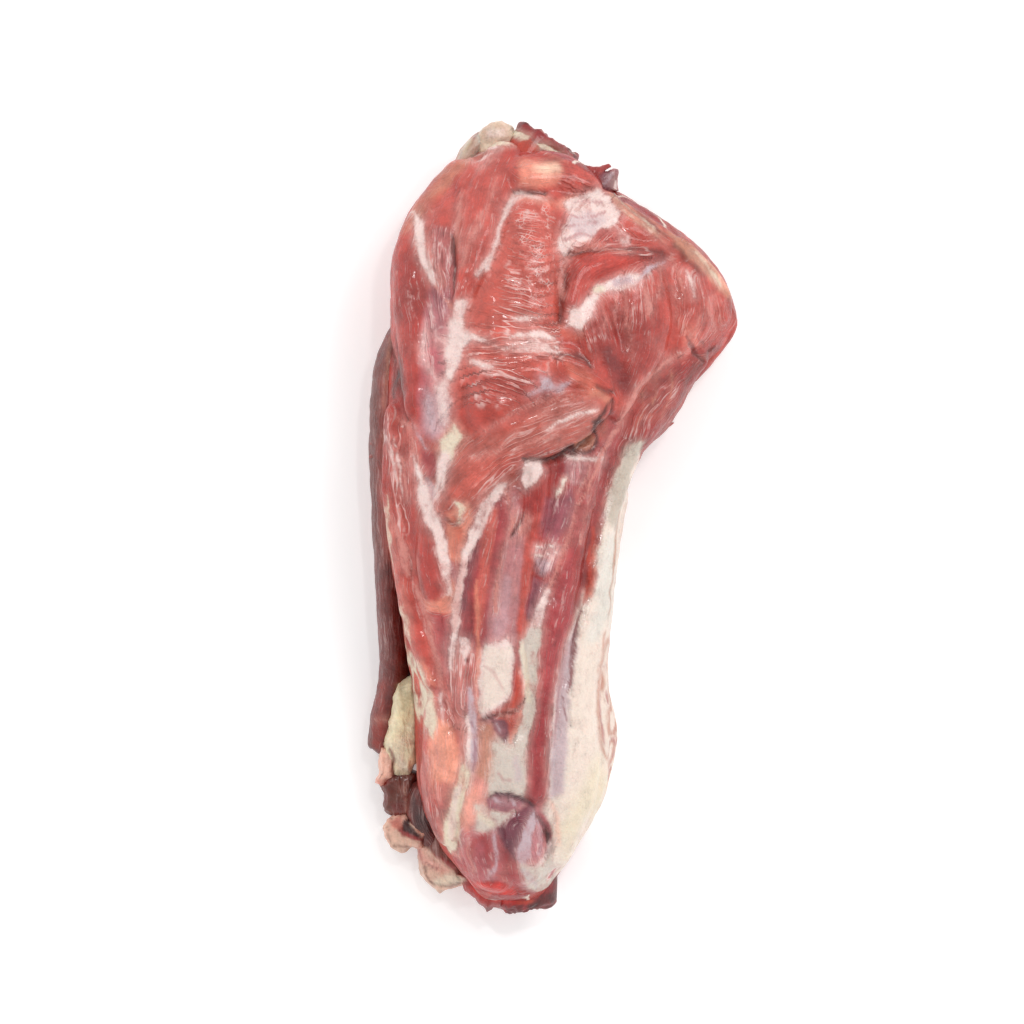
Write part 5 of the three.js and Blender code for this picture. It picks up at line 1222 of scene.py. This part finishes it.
# %% Strokes of the straps and the flaps
STRAP_STROKES = [
    wrinkled(0.5, 4, (-53, 66, 4), (-58, 26, 6), (-57, -28, 6), (-58, -46, 5)),
    wrinkled(0.5, 3, (-50, -94, 5), (-46, -106, 5), (-40, -119, 4)),
    lean("deep", 0.7, 3, (-58, 46, 2), (-58, 26, 3), (-58, 4, 3), (-57, -12, 2)),
    lean("membrane", 0.6, 2, (-62, 60, 1), (-63.6, 40, 1.6), (-64, 15, 1.6), (-62.6, -10, 1.2)),
    lean("shade", 0.5, 2, (-56, 20, 1), (-56, 0, 1.5), (-55, -20, 1.5)),
    hair("tan", 0.5, 0.8, (-57, 62), (-58.4, 50), (-60, 36), middle=0.5),
    hair("tan", 0.4, 0.8, (-60, 30), (-59.6, 10), (-58, -14)),
    lean("rust", 0.3, 3, (-60, -60, 1.5), (-61, -72, 2), (-62, -80, 1.5)),
    lean("blood", 0.4, 2, (-58, -62, 1), (-58.6, -70, 1)),
    lean("membrane", 0.8, 1, (-63.6, -70, 0.4), (-65.4, -80, 0.8), (-64, -83.6, 0.4)),
    hair("tan", 0.6, 0.6, (-62.4, -72), (-60.4, -71), (-58, -71.4)),
    lean("olive", 0.5, 2.5, (-54, -60), (-50, -58), (-50, -70), (-52.6, -76), (-54.4, -71)),
    lean("olive", 0.35, 1, (-53, -76, 0.5), (-51.6, -82, 1), (-52, -89.4, 0.8)),
    lean("membrane", 0.6, 1.2, (-49, -58, 0.6), (-48.4, -70, 0.8), (-48, -80, 0.6), (-48.6, -88, 0.5)),
    laid("cream", 0.8, 1, (-53.4, -87, 0.8), (-51.6, -88.6, 1)),
    laid("cream", 0.6, 0.8, (-53, -78.6, 0.5), (-51.6, -79.6, 0.5)),
    laid("cream", 0.6, 0.8, (-56.4, -80.6, 0.4), (-54.4, -84.6, 0.6), (-54, -88, 0.4)),
    lean("brown", 0.8, 0.6, (-57.4, -81.6, 0.3), (-56.2, -84, 0.4), (-56.4, -90.6, 0.4)),
    lean("red", 0.5, 1.2, (-62, -93.6, 0.6), (-60.6, -94, 1), (-58.6, -93, 0.6)),
    lean("blood", 0.9, 0.8, (-50.4, -92, 0.3), (-50, -97, 0.6), (-49, -102, 0.9), (-50, -104, 0.5)),
    hair("tan", 0.6, 0.5, (-52.2, -95), (-52, -100), (-51.6, -104), middle=0.3),
    lean("blood", 1, 0.8, (-53, -107.4), (-50.6, -107), (-50.4, -109), (-46, -112.6), (-47, -114.4), (-51, -112.8),
        (-54, -110)),
    lean("scarlet", 0.9, 0.7, (-54.6, -110, 0.4), (-51, -112.8, 0.9), (-47, -114, 0.6), (-45, -114.6, 0.3)),
    lean("rust", 0.7, 1.4, (-57.6, -107.4), (-54.4, -106), (-53.6, -109.4), (-56.6, -110)),
    lean("brown", 0.9, 1, (-47, -113.6), (-43, -111), (-39, -116), (-34, -123.6), (-37, -123), (-41, -119.6),
        (-45, -117)),
    lean("scarlet", 0.8, 0.6, (-42, -119, 0.4), (-37, -122, 0.7), (-32.6, -125.6, 0.6), (-29, -128, 0.4)),
    lean("blood", 0.9, 0.4, (-45.2, -122, 0.2), (-43, -123, 0.4), (-41, -124, 0.2)),
    lean("membrane", 0.8, 0.5, (-47, -118, 0.3), (-46, -122, 0.3), (-45, -126.6, 0.5), (-41, -130, 0.4),
        (-33, -129.4, 0.3)),
    lean("membrane", 0.6, 0.5, (-58.8, -109, 0.3), (-57.6, -114, 0.3), (-55.6, -116.4, 0.4), (-50, -116.6, 0.3)),
    lean("pink", 0.6, 2.5, (-47, -117, 1), (-45.6, -121, 1.5), (-42, -122.4, 1.5), (-38, -124.4, 1)),
    lean("cream", 0.7, 1.5, (-41, -129, 0.8), (-36, -128, 1.4), (-32, -127.6, 0.8)),
    lean("vermilion", 0.9, 1.5, (-28, -130, 0.8), (-23, -132.6, 2), (-17, -133, 2)),
    lean("blood", 0.5, 0.8, (-27.6, -135.4, 0.3), (-24, -138.4, 0.5), (-17, -138.4, 0.5)),
    lean("red", 0.5, 2, (5, 121, 1.5), (12, 121, 1.5), (16, 118, 1.5)),
    lean("plum", 0.9, 1.2, (16.6, 119), (18, 121), (23, 121.4), (22, 117), (23.4, 113), (20, 113), (17, 115)),
    lean("blood", 0.6, 1, (19, 119.6, 0.4), (21.4, 118, 1), (20, 115.6, 0.5)),
    hair("lilac", 0.8, 0.5, (17.6, 116), (19, 117.6), (20.4, 120)),
    laid("white", 0.8, 0.5, (21.6, 114.4, 0.3), (22, 117, 0.4)),
    laid("pink", 0.7, 0.7, (7, 116.6, 0.3), (9, 117.4, 0.6), (11, 116, 0.4), (14, 117, 0.3)),
    lean("membrane", 0.6, 0.8, (-31, 128, 0.4), (-27.4, 133.4, 0.6), (-25.6, 135.4, 0.4)),
    lean("olive", 0.4, 1, (-29, 131.6, 0.6), (-31.6, 127.6, 0.6)),
    laid("white", 0.6, 1.2, (-22, 134, 1), (-18, 134.4, 1.5)),
    lean("rust", 0.5, 1.5, (-24, 127, 0.8), (-18, 128.4, 1)),
]


# %% Make the straps and the flaps
def patches(points, first, second, size, seed):
    """Two tones in soft patches of size mm."""
    share = smooth_step(-0.5, 0.5, rough_noise(points, size, seed))[:, None]
    return TONES[first] + (TONES[second] - TONES[first]) * share


parts = []
for seed, (name, (first, second, rows)) in enumerate(STRAPS.items()):
    strap = sweep(rows, seed)
    parts.append((*strap, patches(strap[0], first, second, 7, 110 + seed)))
    print(name, len(strap[0]), "points")
for seed, (name, (first, second, middle, slope_x, slope_y, half, outline)) in enumerate(FLAPS.items()):
    flap = torn_flap(outline, middle, slope_x, slope_y, half, seed)
    parts.append((*flap, patches(flap[0], first, second, 4, 180 + seed)))
    print(name, len(flap[0]), "points")

# %% [markdown]
# ## From numbers to pieces
# A mesh is points, faces and values on its points. The values are the tones and the grain worked out above,
# and the material reads them by name. All three pieces are made by the same function.


# %% Make a piece with its values
def make_piece(name, points, quads, fans, values):
    mesh = bpy.data.meshes.new(name)
    mesh.vertices.add(len(points))
    mesh.vertices.foreach_set("co", (points * MM).ravel())
    corners = np.r_[quads.ravel(), fans.ravel()].astype(np.int32)
    starts = np.r_[np.arange(len(quads)) * 4, len(quads) * 4 + np.arange(len(fans)) * 3].astype(np.int32)
    mesh.loops.add(len(corners))
    mesh.loops.foreach_set("vertex_index", corners)
    mesh.polygons.add(len(starts))
    mesh.polygons.foreach_set("loop_start", starts)
    mesh.polygons.foreach_set("use_smooth", np.ones(len(starts), bool))
    mesh.update(calc_edges=True)
    for key, value in values.items():
        kind, field = ("FLOAT", "value") if value.ndim == 1 else ("FLOAT_COLOR", "color")
        if key == "grain":
            kind, field = "FLOAT_VECTOR", "vector"
        elif kind == "FLOAT_COLOR":
            value = np.column_stack([np.clip(value, 0, 1), np.ones(len(value))])
        layer = mesh.attributes.new(key, kind, "POINT")
        layer.data.foreach_set(field, value.astype(np.float32).ravel())
    piece = bpy.data.objects.new(name, mesh)
    bpy.context.collection.objects.link(piece)
    return piece


def joined(parts):
    """Several skins as one set of arrays."""
    points, quads, fans, grain, tint = zip(*parts)
    starts = np.cumsum([0] + [len(some) for some in points[:-1]])
    quads, fans = (np.vstack([some + start for some, start in zip(faces, starts)]) for faces in (quads, fans))
    return np.vstack(points), quads, fans, np.vstack(grain), np.vstack(tint)


strap_points, strap_quads, strap_fans, strap_grain, strap_tint = joined(parts)
strap_out = vertex_normals(strap_points, strap_quads, strap_fans)
strap_layers = bare_layers(strap_tint, strap_out)
paint(strap_points, strap_layers, STRAP_STROKES, np.ones(len(strap_points), bool), seed=9)
shade_steep_sides(strap_layers, strap_out)
strap_layers["clear"][:] = 0.5
flesh = make_piece("meat", skin, bed_quads, bed_fans, {**flesh_layers, "grain": grain})
straps = make_piece("loose_straps", strap_points, strap_quads, strap_fans,
                    {**strap_layers, "grain": strap_grain})
for piece in (flesh, straps):
    print(piece.name, sum(len(face.vertices) - 2 for face in piece.data.polygons), "triangles")

# %% [markdown]
# ## The sawn bone
# The column of neck bones runs through the meat and shows at both ends, where the saw left it rough: a thin
# pale rim round dark red, spongy marrow, with the canal of the spinal cord open towards the back of the neck.

# %% The bone column: x, y, z, half width, half height, turn in plan
BONE = [(-10, -138, 20, 10, 10, 4), (-11, -118, 23, 11, 11, 2), (-15, -70, 29, 12, 12, -4),
        (-17, 0, 33, 13, 13, -12), (-17, 70, 34, 13, 13, -22), (-10, 116, 33, 13, 13, -29),
        (-2.8, 132.4, 31, 12, 12, -29)]
KNUCKLES = 3
KNUCKLE_SWELL = 0.12
CANAL_RADIUS = 4.5
CANAL_SHIFT = 3.5
CANAL_DEPTH = 12
BONE_SIDES = 96
BONE_LENGTH = 270
# The corners of the sawn ends are worn off by these shares, over this share of the length
END_WEAR = {0: 0.36, 1: 0.1}
END_REACH = 0.03


def bone_rings():
    angle = np.linspace(0, 2 * np.pi, BONE_SIDES, endpoint=False)
    swell = 1 + KNUCKLE_SWELL * np.cos(KNUCKLES * angle)
    dense = np.r_[np.linspace(0, 0.06, 14), np.linspace(0.07, 0.93, 60), np.linspace(0.94, 1, 14)]
    face = np.linspace(0, 1, 42)[1:-1]
    shares = np.r_[np.zeros(len(face)), dense, np.ones(len(face))]
    sizes = np.r_[face, np.ones(len(dense)), face[::-1]]
    stations = curve(BONE, shares)
    rings = []
    for share, station, size in zip(shares, stations, sizes):
        plan = math.radians(station[5])
        worn = 1 - END_WEAR[round(share)] * max(0, 1 - min(share, 1 - share) / END_REACH) ** 2
        level = np.cos(angle) * swell * station[3] * size * worn
        height = np.sin(angle) * swell * station[4] * size * worn
        ring = np.column_stack([station[0] + level * math.cos(plan), station[1] + level * math.sin(plan),
                                station[2] + height])
        rings.append(ring)
    return np.array(rings), shares, sizes, angle


rings, shares, sizes, angle = bone_rings()
bone = np.vstack([rings.reshape(-1, 3), np.array(BONE[0][:3]), np.array(BONE[-1][:3])])
bone_quads, bone_fans = tube_faces(len(rings), BONE_SIDES)
bone_quads, bone_fans = bone_quads[:, ::-1], bone_fans[:, ::-1]
bone_out = vertex_normals(bone, bone_quads, bone_fans)
size_at = np.r_[np.repeat(sizes, BONE_SIDES), 0, 0]
share_at = np.r_[np.repeat(shares, BONE_SIDES), 0, 1]
near_end = smooth_step(9, 1, np.minimum(share_at, 1 - share_at) * BONE_LENGTH)
bone = bone + bone_out * (near_end * (1.4 * rough_noise(bone, 4.2, 130) - 0.5))[:, None]
for end, station in ((0, BONE[0]), (1, BONE[-1])):
    plan = math.radians(station[5])
    mouth = np.array(station[:3]) + CANAL_SHIFT * np.array([math.cos(plan), math.sin(plan), 0])
    inward = np.array([-math.sin(plan), math.cos(plan), 0]) * (1 if end == 0 else -1)
    on_face = (share_at == end) & (size_at < 0.97)
    away = np.linalg.norm(bone - mouth, axis=1)
    bone += (on_face * CANAL_DEPTH * smooth_step(CANAL_RADIUS, 0.75 * CANAL_RADIUS, away))[:, None] * inward
spongy = smooth_step(-0.4, 0.3, rough_noise(bone, 1.9, 133))[:, None]
marrow = TONES["blood"] + (TONES["marrow"] - TONES["blood"]) * (0.35 + 0.65 * spongy)
rim = smooth_step(0.84, 0.9, size_at) * smooth_step(1, 0.95, size_at)
rim *= smooth_step(0.0, 0.4, rough_noise(bone, 5, 137))
bone_tint = marrow + (TONES["bone"] - marrow) * rim[:, None] * 0.7
bone_grain = np.column_stack([bone[:, 0], bone[:, 1], np.full(len(bone), 900.0)])
BONE_STROKES = [
    lean("marrow", 0.9, 1, (-17, 138), (-8, 136.6), (2, 130.6), (8, 124), (4, 123), (-4, 128), (-16, 133)),
    laid("cream", 0.95, 0.5, (-16, 135.6), (-12, 134.6), (-8.6, 133), (-9.6, 131.8), (-12, 132.6), (-16, 133)),
    lean("rust", 0.9, 0.8, (-15, 132), (-8, 131.6), (-5, 129), (-6, 126), (-13, 127)),
    laid("cream", 0.95, 0.5, (-5.4, 130), (-2, 129.4), (2, 127.6), (4.4, 126.2), (5.4, 124.4), (2, 125.6), (-2, 127),
        (-4.4, 128.6)),
    lean("vermilion", 0.9, 1.5, (-21, -132, 1.5), (-16, -134, 2), (-12, -134, 1)),
    lean("rust", 0.8, 1.2, (-12, -135, 0.8), (-8, -135.4, 1)),
    lean("blood", 0.8, 1.5, (-8, -137, 0.8), (-4, -136, 1.5), (0, -133, 1.5)),
]
bone_layers = bare_layers(bone_tint, bone_out)
bone_layers["clear"][:] = 0
paint(bone, bone_layers, BONE_STROKES, bone[:, 2] > 20, seed=13)
sawn_bone = make_piece("sawn_bone", bone, bone_quads, bone_fans, {**bone_layers, "grain": bone_grain})
print("bone", np.round(bone.min(0), 1), np.round(bone.max(0), 1))

# %% [markdown]
# ## Finishes
# A finish is a small graph of nodes. Writing it as Python sums keeps it readable: the class below wraps one
# socket, and adding or multiplying wraps adds the Math nodes that do it.


# %% Sockets that add up
class Wire:
    """A socket of a finish; + - * on it add Math nodes."""

    def __init__(self, finish, socket):
        self.finish = finish
        self.socket = socket

    def math(self, operation, first, second):
        return self.finish.node("ShaderNodeMath", {"operation": operation}, {0: first, 1: second})

    def __add__(self, other):
        return self.math("ADD", self, other)

    def __radd__(self, other):
        return self.math("ADD", other, self)

    def __sub__(self, other):
        return self.math("SUBTRACT", self, other)

    def __rsub__(self, other):
        return self.math("SUBTRACT", other, self)

    def __mul__(self, other):
        return self.math("MULTIPLY", self, other)

    def __rmul__(self, other):
        return self.math("MULTIPLY", other, self)


class Finish:
    """A material under construction."""

    def __init__(self, name):
        self.material = bpy.data.materials.new(name)
        self.material.use_nodes = True
        self.tree = self.material.node_tree
        self.shader = self.tree.nodes["Principled BSDF"]

    def set_input(self, socket, value):
        if isinstance(value, Wire):
            self.tree.links.new(value.socket, socket)
        elif isinstance(value, np.ndarray) and socket.type == "RGBA":
            socket.default_value = (*value, 1)
        else:
            socket.default_value = value

    def node(self, kind, settings, inputs, output=0):
        """Any node: its settings first, then the values or links of its sockets."""
        made = self.tree.nodes.new(kind)
        for key, value in settings.items():
            setattr(made, key, value)
        for key, value in inputs.items():
            self.set_input(made.inputs[key], value)
        return Wire(self, made.outputs[output])

    def value_of(self, name, output):
        return self.node("ShaderNodeAttribute", {"attribute_name": name}, {}, output)

    def place(self):
        return self.node("ShaderNodeTexCoord", {}, {}, "Object")

    def noise(self, place, scale, detail, roughness=0.6, output="Fac"):
        return self.node("ShaderNodeTexNoise", {}, {"Vector": place, "Scale": scale, "Detail": detail,
                                                    "Roughness": roughness}, output)

    def streaks(self, grain, size, detail=3.0):
        """Noise over the grain, one streak for each size mm across and along."""
        scaled = self.node("ShaderNodeVectorMath", {"operation": "MULTIPLY"},
                           {0: grain, 1: (1 / size[0], 1 / size[1], 1.0)})
        return self.noise(scaled, 1.0, detail)

    def shaken(self, grain, size, reach):
        """The grain, moved to and fro by up to reach mm in lumps of size mm."""
        lumps = self.noise(self.place(), 1 / (size * MM), 2.0, 0.5, "Color")
        return self.node("ShaderNodeVectorMath", {"operation": "MULTIPLY_ADD"},
                         {0: lumps, 1: (reach, reach, 0.0), 2: grain})

    def ridge(self, field, half_width):
        """1 on the lines where a noise crosses its middle, 0 away from them."""
        away = self.node("ShaderNodeMath", {"operation": "ABSOLUTE"}, {0: field - 0.5})
        return self.step(away, half_width, 0.0)

    def cells(self, size):
        return self.node("ShaderNodeTexVoronoi", {"feature": "DISTANCE_TO_EDGE"},
                         {"Vector": self.place(), "Scale": 1 / (size * MM)}, "Distance")

    def speckle(self, size, detail=2.0):
        return self.noise(self.place(), 1 / (size * MM), detail)

    def step(self, value, low, high):
        return self.node("ShaderNodeMapRange", {"interpolation_type": "SMOOTHSTEP"},
                         {"Value": value, "From Min": low, "From Max": high})

    def blend(self, share, first, second):
        return self.node("ShaderNodeMix", {"data_type": "RGBA"}, {"Factor": share, 6: first, 7: second}, 2)

    def scaled(self, colour, factor):
        return self.node("ShaderNodeVectorMath", {"operation": "SCALE"}, {0: colour, "Scale": factor})

    def finish_with(self, **values):
        for key, value in values.items():
            self.set_input(self.shader.inputs[key.replace("_", " ")], value)


# %% [markdown]
# ## Moist flesh
# Wet meat is a dark body under a thin film of water. The tone comes from the points, the streaks from noise
# stretched along the grain, and the border of the pale layer is moved to and fro by the same streaks, so
# that fat frays along the fibres. Light enters a little way, which the subsurface values give. The film of
# water is a coat with a sharper gloss than the meat beneath, and it is thinner on steep sides.

# %% The finish of the flesh
def flesh_finish(name):
    finish = Finish(name)
    tint, pale_tint = (finish.value_of(key, "Color") for key in ("tint", "pale_tint"))
    pale, threads, crackle, clear, wet = (
        finish.value_of(key, "Fac") for key in ("pale", "threads", "crackle", "clear", "wet"))
    grain = finish.shaken(finish.value_of("grain", "Vector"), 10, 2.4)
    strong = finish.step(finish.streaks(grain, (9, 30), 2.0), 0.4, 0.62) * clear
    coarse = strong * (finish.streaks(grain, (1.7, 16)) - 0.5)
    fine = strong * (finish.streaks(grain, (0.6, 8), 2.0) - 0.5)
    film = clear * (finish.streaks(grain, (5, 13), 4.0) - 0.5)
    cloud = finish.speckle(9, 3.0) - 0.5
    blotch = finish.speckle(3.5, 3.0) - 0.5
    grit = finish.speckle(0.8) - 0.5
    folded = finish.streaks(grain, (1.9, 19), 1.5)
    folds = finish.ridge(folded, 0.16)
    crest = finish.ridge(folded, 0.045) * finish.step(cloud, -0.12, 0.08)
    strands = finish.ridge(finish.streaks(grain, (2.2, 55), 1.5), 0.018)
    strands = strands * clear * finish.step(blotch, -0.08, 0.1)
    where = clear * finish.step(pale, 0.7, 0.1) * finish.step(1.1 * threads + 0.9 * film, 0.2, 0.8)
    cracks = finish.step(finish.cells(1.3), 0.16, 0.0) * crackle * finish.step(blotch, -0.05, 0.12)

    # The flesh: soft clouds and blotches, faint fibres, thin film, wrinkles with pale crests, long strands;
    # the wrinkles get painted light on their tops and painted shade between, and painted highlights on their crests
    lively = 1.0 + 0.7 * coarse + 0.6 * fine + 0.9 * cloud + 0.8 * blotch + 0.4 * grit
    lively = lively + 0.25 * where * (folds - 0.6)
    meat = finish.scaled(tint, lively)
    meat = finish.blend(0.32 * finish.step(film, 0.02, 0.3), meat, TONES["pink"])
    flecks = 0.5 * finish.step(fine, 0.06, 0.22) * finish.step(blotch, -0.05, 0.15)
    meat = finish.blend(flecks, meat, TONES["pink"])
    # Pale lines on the crests and in the cracks: pale skin with painted highlights
    pale_lines_and_glints = finish.node("ShaderNodeMath", {"operation": "MAXIMUM"}, {0: where * crest, 1: cracks})
    meat = finish.blend(0.65 * pale_lines_and_glints, meat, TONES["white"])
    meat = finish.blend(0.3 * strands, meat, TONES["white"])

    # The pale layer frays a little along the fibres and thins out in places
    edge = finish.step(pale, 0.0, 0.3)
    fray = pale + edge * (0.9 * coarse + 0.6 * fine + 0.5 * blotch + 0.4 * grit + 0.5 * film)
    cover = finish.step(fray, 0.0, 1.05)
    fat = finish.scaled(pale_tint, 1.0 + 0.12 * coarse + 0.25 * grit + 0.2 * blotch - 0.25 * where * crest)
    colour = finish.blend(cover, meat, fat)

    bare = 1.0 - 0.8 * cover
    height = bare * (0.4 * coarse + 0.3 * fine + 0.45 * where * folds + 0.15 * strands)
    height = height + 0.2 * grit + 0.3 * cover + 0.7 * blotch
    normal = finish.node("ShaderNodeBump", {},
                         {"Strength": 0.9, "Distance": 1.2 * MM, "Height": height}, "Normal")
    finish.finish_with(Base_Color=colour, Roughness=0.4 + 0.4 * blotch, Normal=normal,
                       Coat_Weight=0.4 * wet, Coat_Roughness=0.12, Specular_IOR_Level=0.35,
                       Subsurface_Weight=0.12, Subsurface_Scale=2.0 * MM,
                       Subsurface_Radius=(1.0, 0.35, 0.25))
    return finish.material


flesh_material = flesh_finish("moist_flesh")
flesh.data.materials.append(flesh_material)
straps.data.materials.append(flesh_material)
sawn_bone.data.materials.append(flesh_finish("sawn_marrow"))

# %% [markdown]
# ## Each piece takes its place
# The skin and the straps stand for the one solid of flesh, and the bone for the solid of bone.

# %% Bodies and nodes
for piece, node_name, slot in ((flesh, "neck_flesh", "flesh"), (straps, "neck_flesh", "flesh"),
                               (sawn_bone, "neck_bone", "bone")):
    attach(piece, "root")
    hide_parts(node_name)

# %% [markdown]
# ## Floor, light and camera
# The cut lies on a white surface under soft light, seen from straight above. A long lens far away keeps the
# outline true, and the light comes mostly from all round, with a large soft panel up to the right.

# %% Floor and light
FLOOR_REACH = 2.5
floor_mesh = bpy.data.meshes.new("floor")
floor_corners = [(x * FLOOR_REACH, y * FLOOR_REACH, 0) for x, y in ((-1, -1), (1, -1), (1, 1), (-1, 1))]
floor_mesh.from_pydata(floor_corners, [], [(0, 1, 2, 3)])
floor = bpy.data.objects.new("floor", floor_mesh)
bpy.context.collection.objects.link(floor)
floor_finish = Finish("white_floor")
floor_finish.finish_with(Base_Color=np.array([0.95, 0.95, 0.95]), Roughness=0.7, Specular_IOR_Level=0.2,
                         Emission_Color=np.array([1.0, 1.0, 1.0]), Emission_Strength=0.16)
floor_mesh.materials.append(floor_finish.material)

# The ceiling above the camera is dim, so that the wet top doesn't mirror it; the room is bright lower down
DOME = {"From Min": 0.97, "From Max": 0.72, "To Min": 0.35, "To Max": 1.2}
world = bpy.data.worlds.new("soft_room")
world.use_nodes = True
world.cycles.sampling_method = "MANUAL"
world.cycles.sample_map_resolution = 128
background = world.node_tree.nodes["Background"]
background.inputs["Color"].default_value = (1, 1, 1, 1)
direction = world.node_tree.nodes.new("ShaderNodeTexCoord")
upward = world.node_tree.nodes.new("ShaderNodeSeparateXYZ")
dome = world.node_tree.nodes.new("ShaderNodeMapRange")
for key, value in DOME.items():
    dome.inputs[key].default_value = value
world.node_tree.links.new(direction.outputs["Generated"], upward.inputs["Vector"])
world.node_tree.links.new(upward.outputs["Z"], dome.inputs["Value"])
world.node_tree.links.new(dome.outputs["Result"], background.inputs["Strength"])
bpy.context.scene.world = world

# The panels: place and side in metres, power in watts
PANELS = {
    "key_panel": ((0.6, 0.6, 1.3), 0.5, 5),
    "glint_panel": ((0.2, 0.35, 1.5), 0.06, 1.8),
    "second_glint_panel": ((-0.35, 0.5, 1.4), 0.06, 1.4),
}
for name, (place, side, power) in PANELS.items():
    light = bpy.data.lights.new(name, "AREA")
    light.size = side
    light.energy = power
    panel = bpy.data.objects.new(name, light)
    panel.location = place
    panel.rotation_euler = (-panel.location).to_track_quat("-Z", "Y").to_euler()
    bpy.context.collection.objects.link(panel)
print(len(PANELS), "soft panels")

# %% Camera
PHOTO_SIDE = 1024
MM_PER_PIXEL = 0.35
ORIGIN_PIXEL = (553.5, 516.5)
CAMERA_HEIGHT = 3.0
SHARP_HEIGHT = 0.04
SENSOR = 36

camera_data = bpy.data.cameras.new("camera")
camera_data.sensor_width = SENSOR
camera_data.lens = SENSOR * (CAMERA_HEIGHT - SHARP_HEIGHT) / (PHOTO_SIDE * MM_PER_PIXEL * MM)
camera = bpy.data.objects.new("camera", camera_data)
camera.location = ((PHOTO_SIDE / 2 - ORIGIN_PIXEL[0]) * MM_PER_PIXEL * MM,
                   (ORIGIN_PIXEL[1] - PHOTO_SIDE / 2) * MM_PER_PIXEL * MM, CAMERA_HEIGHT)
bpy.context.collection.objects.link(camera)
bpy.context.scene.camera = camera
bpy.context.scene.view_settings.view_transform = "Standard"
print("lens", round(camera_data.lens, 1), "mm")
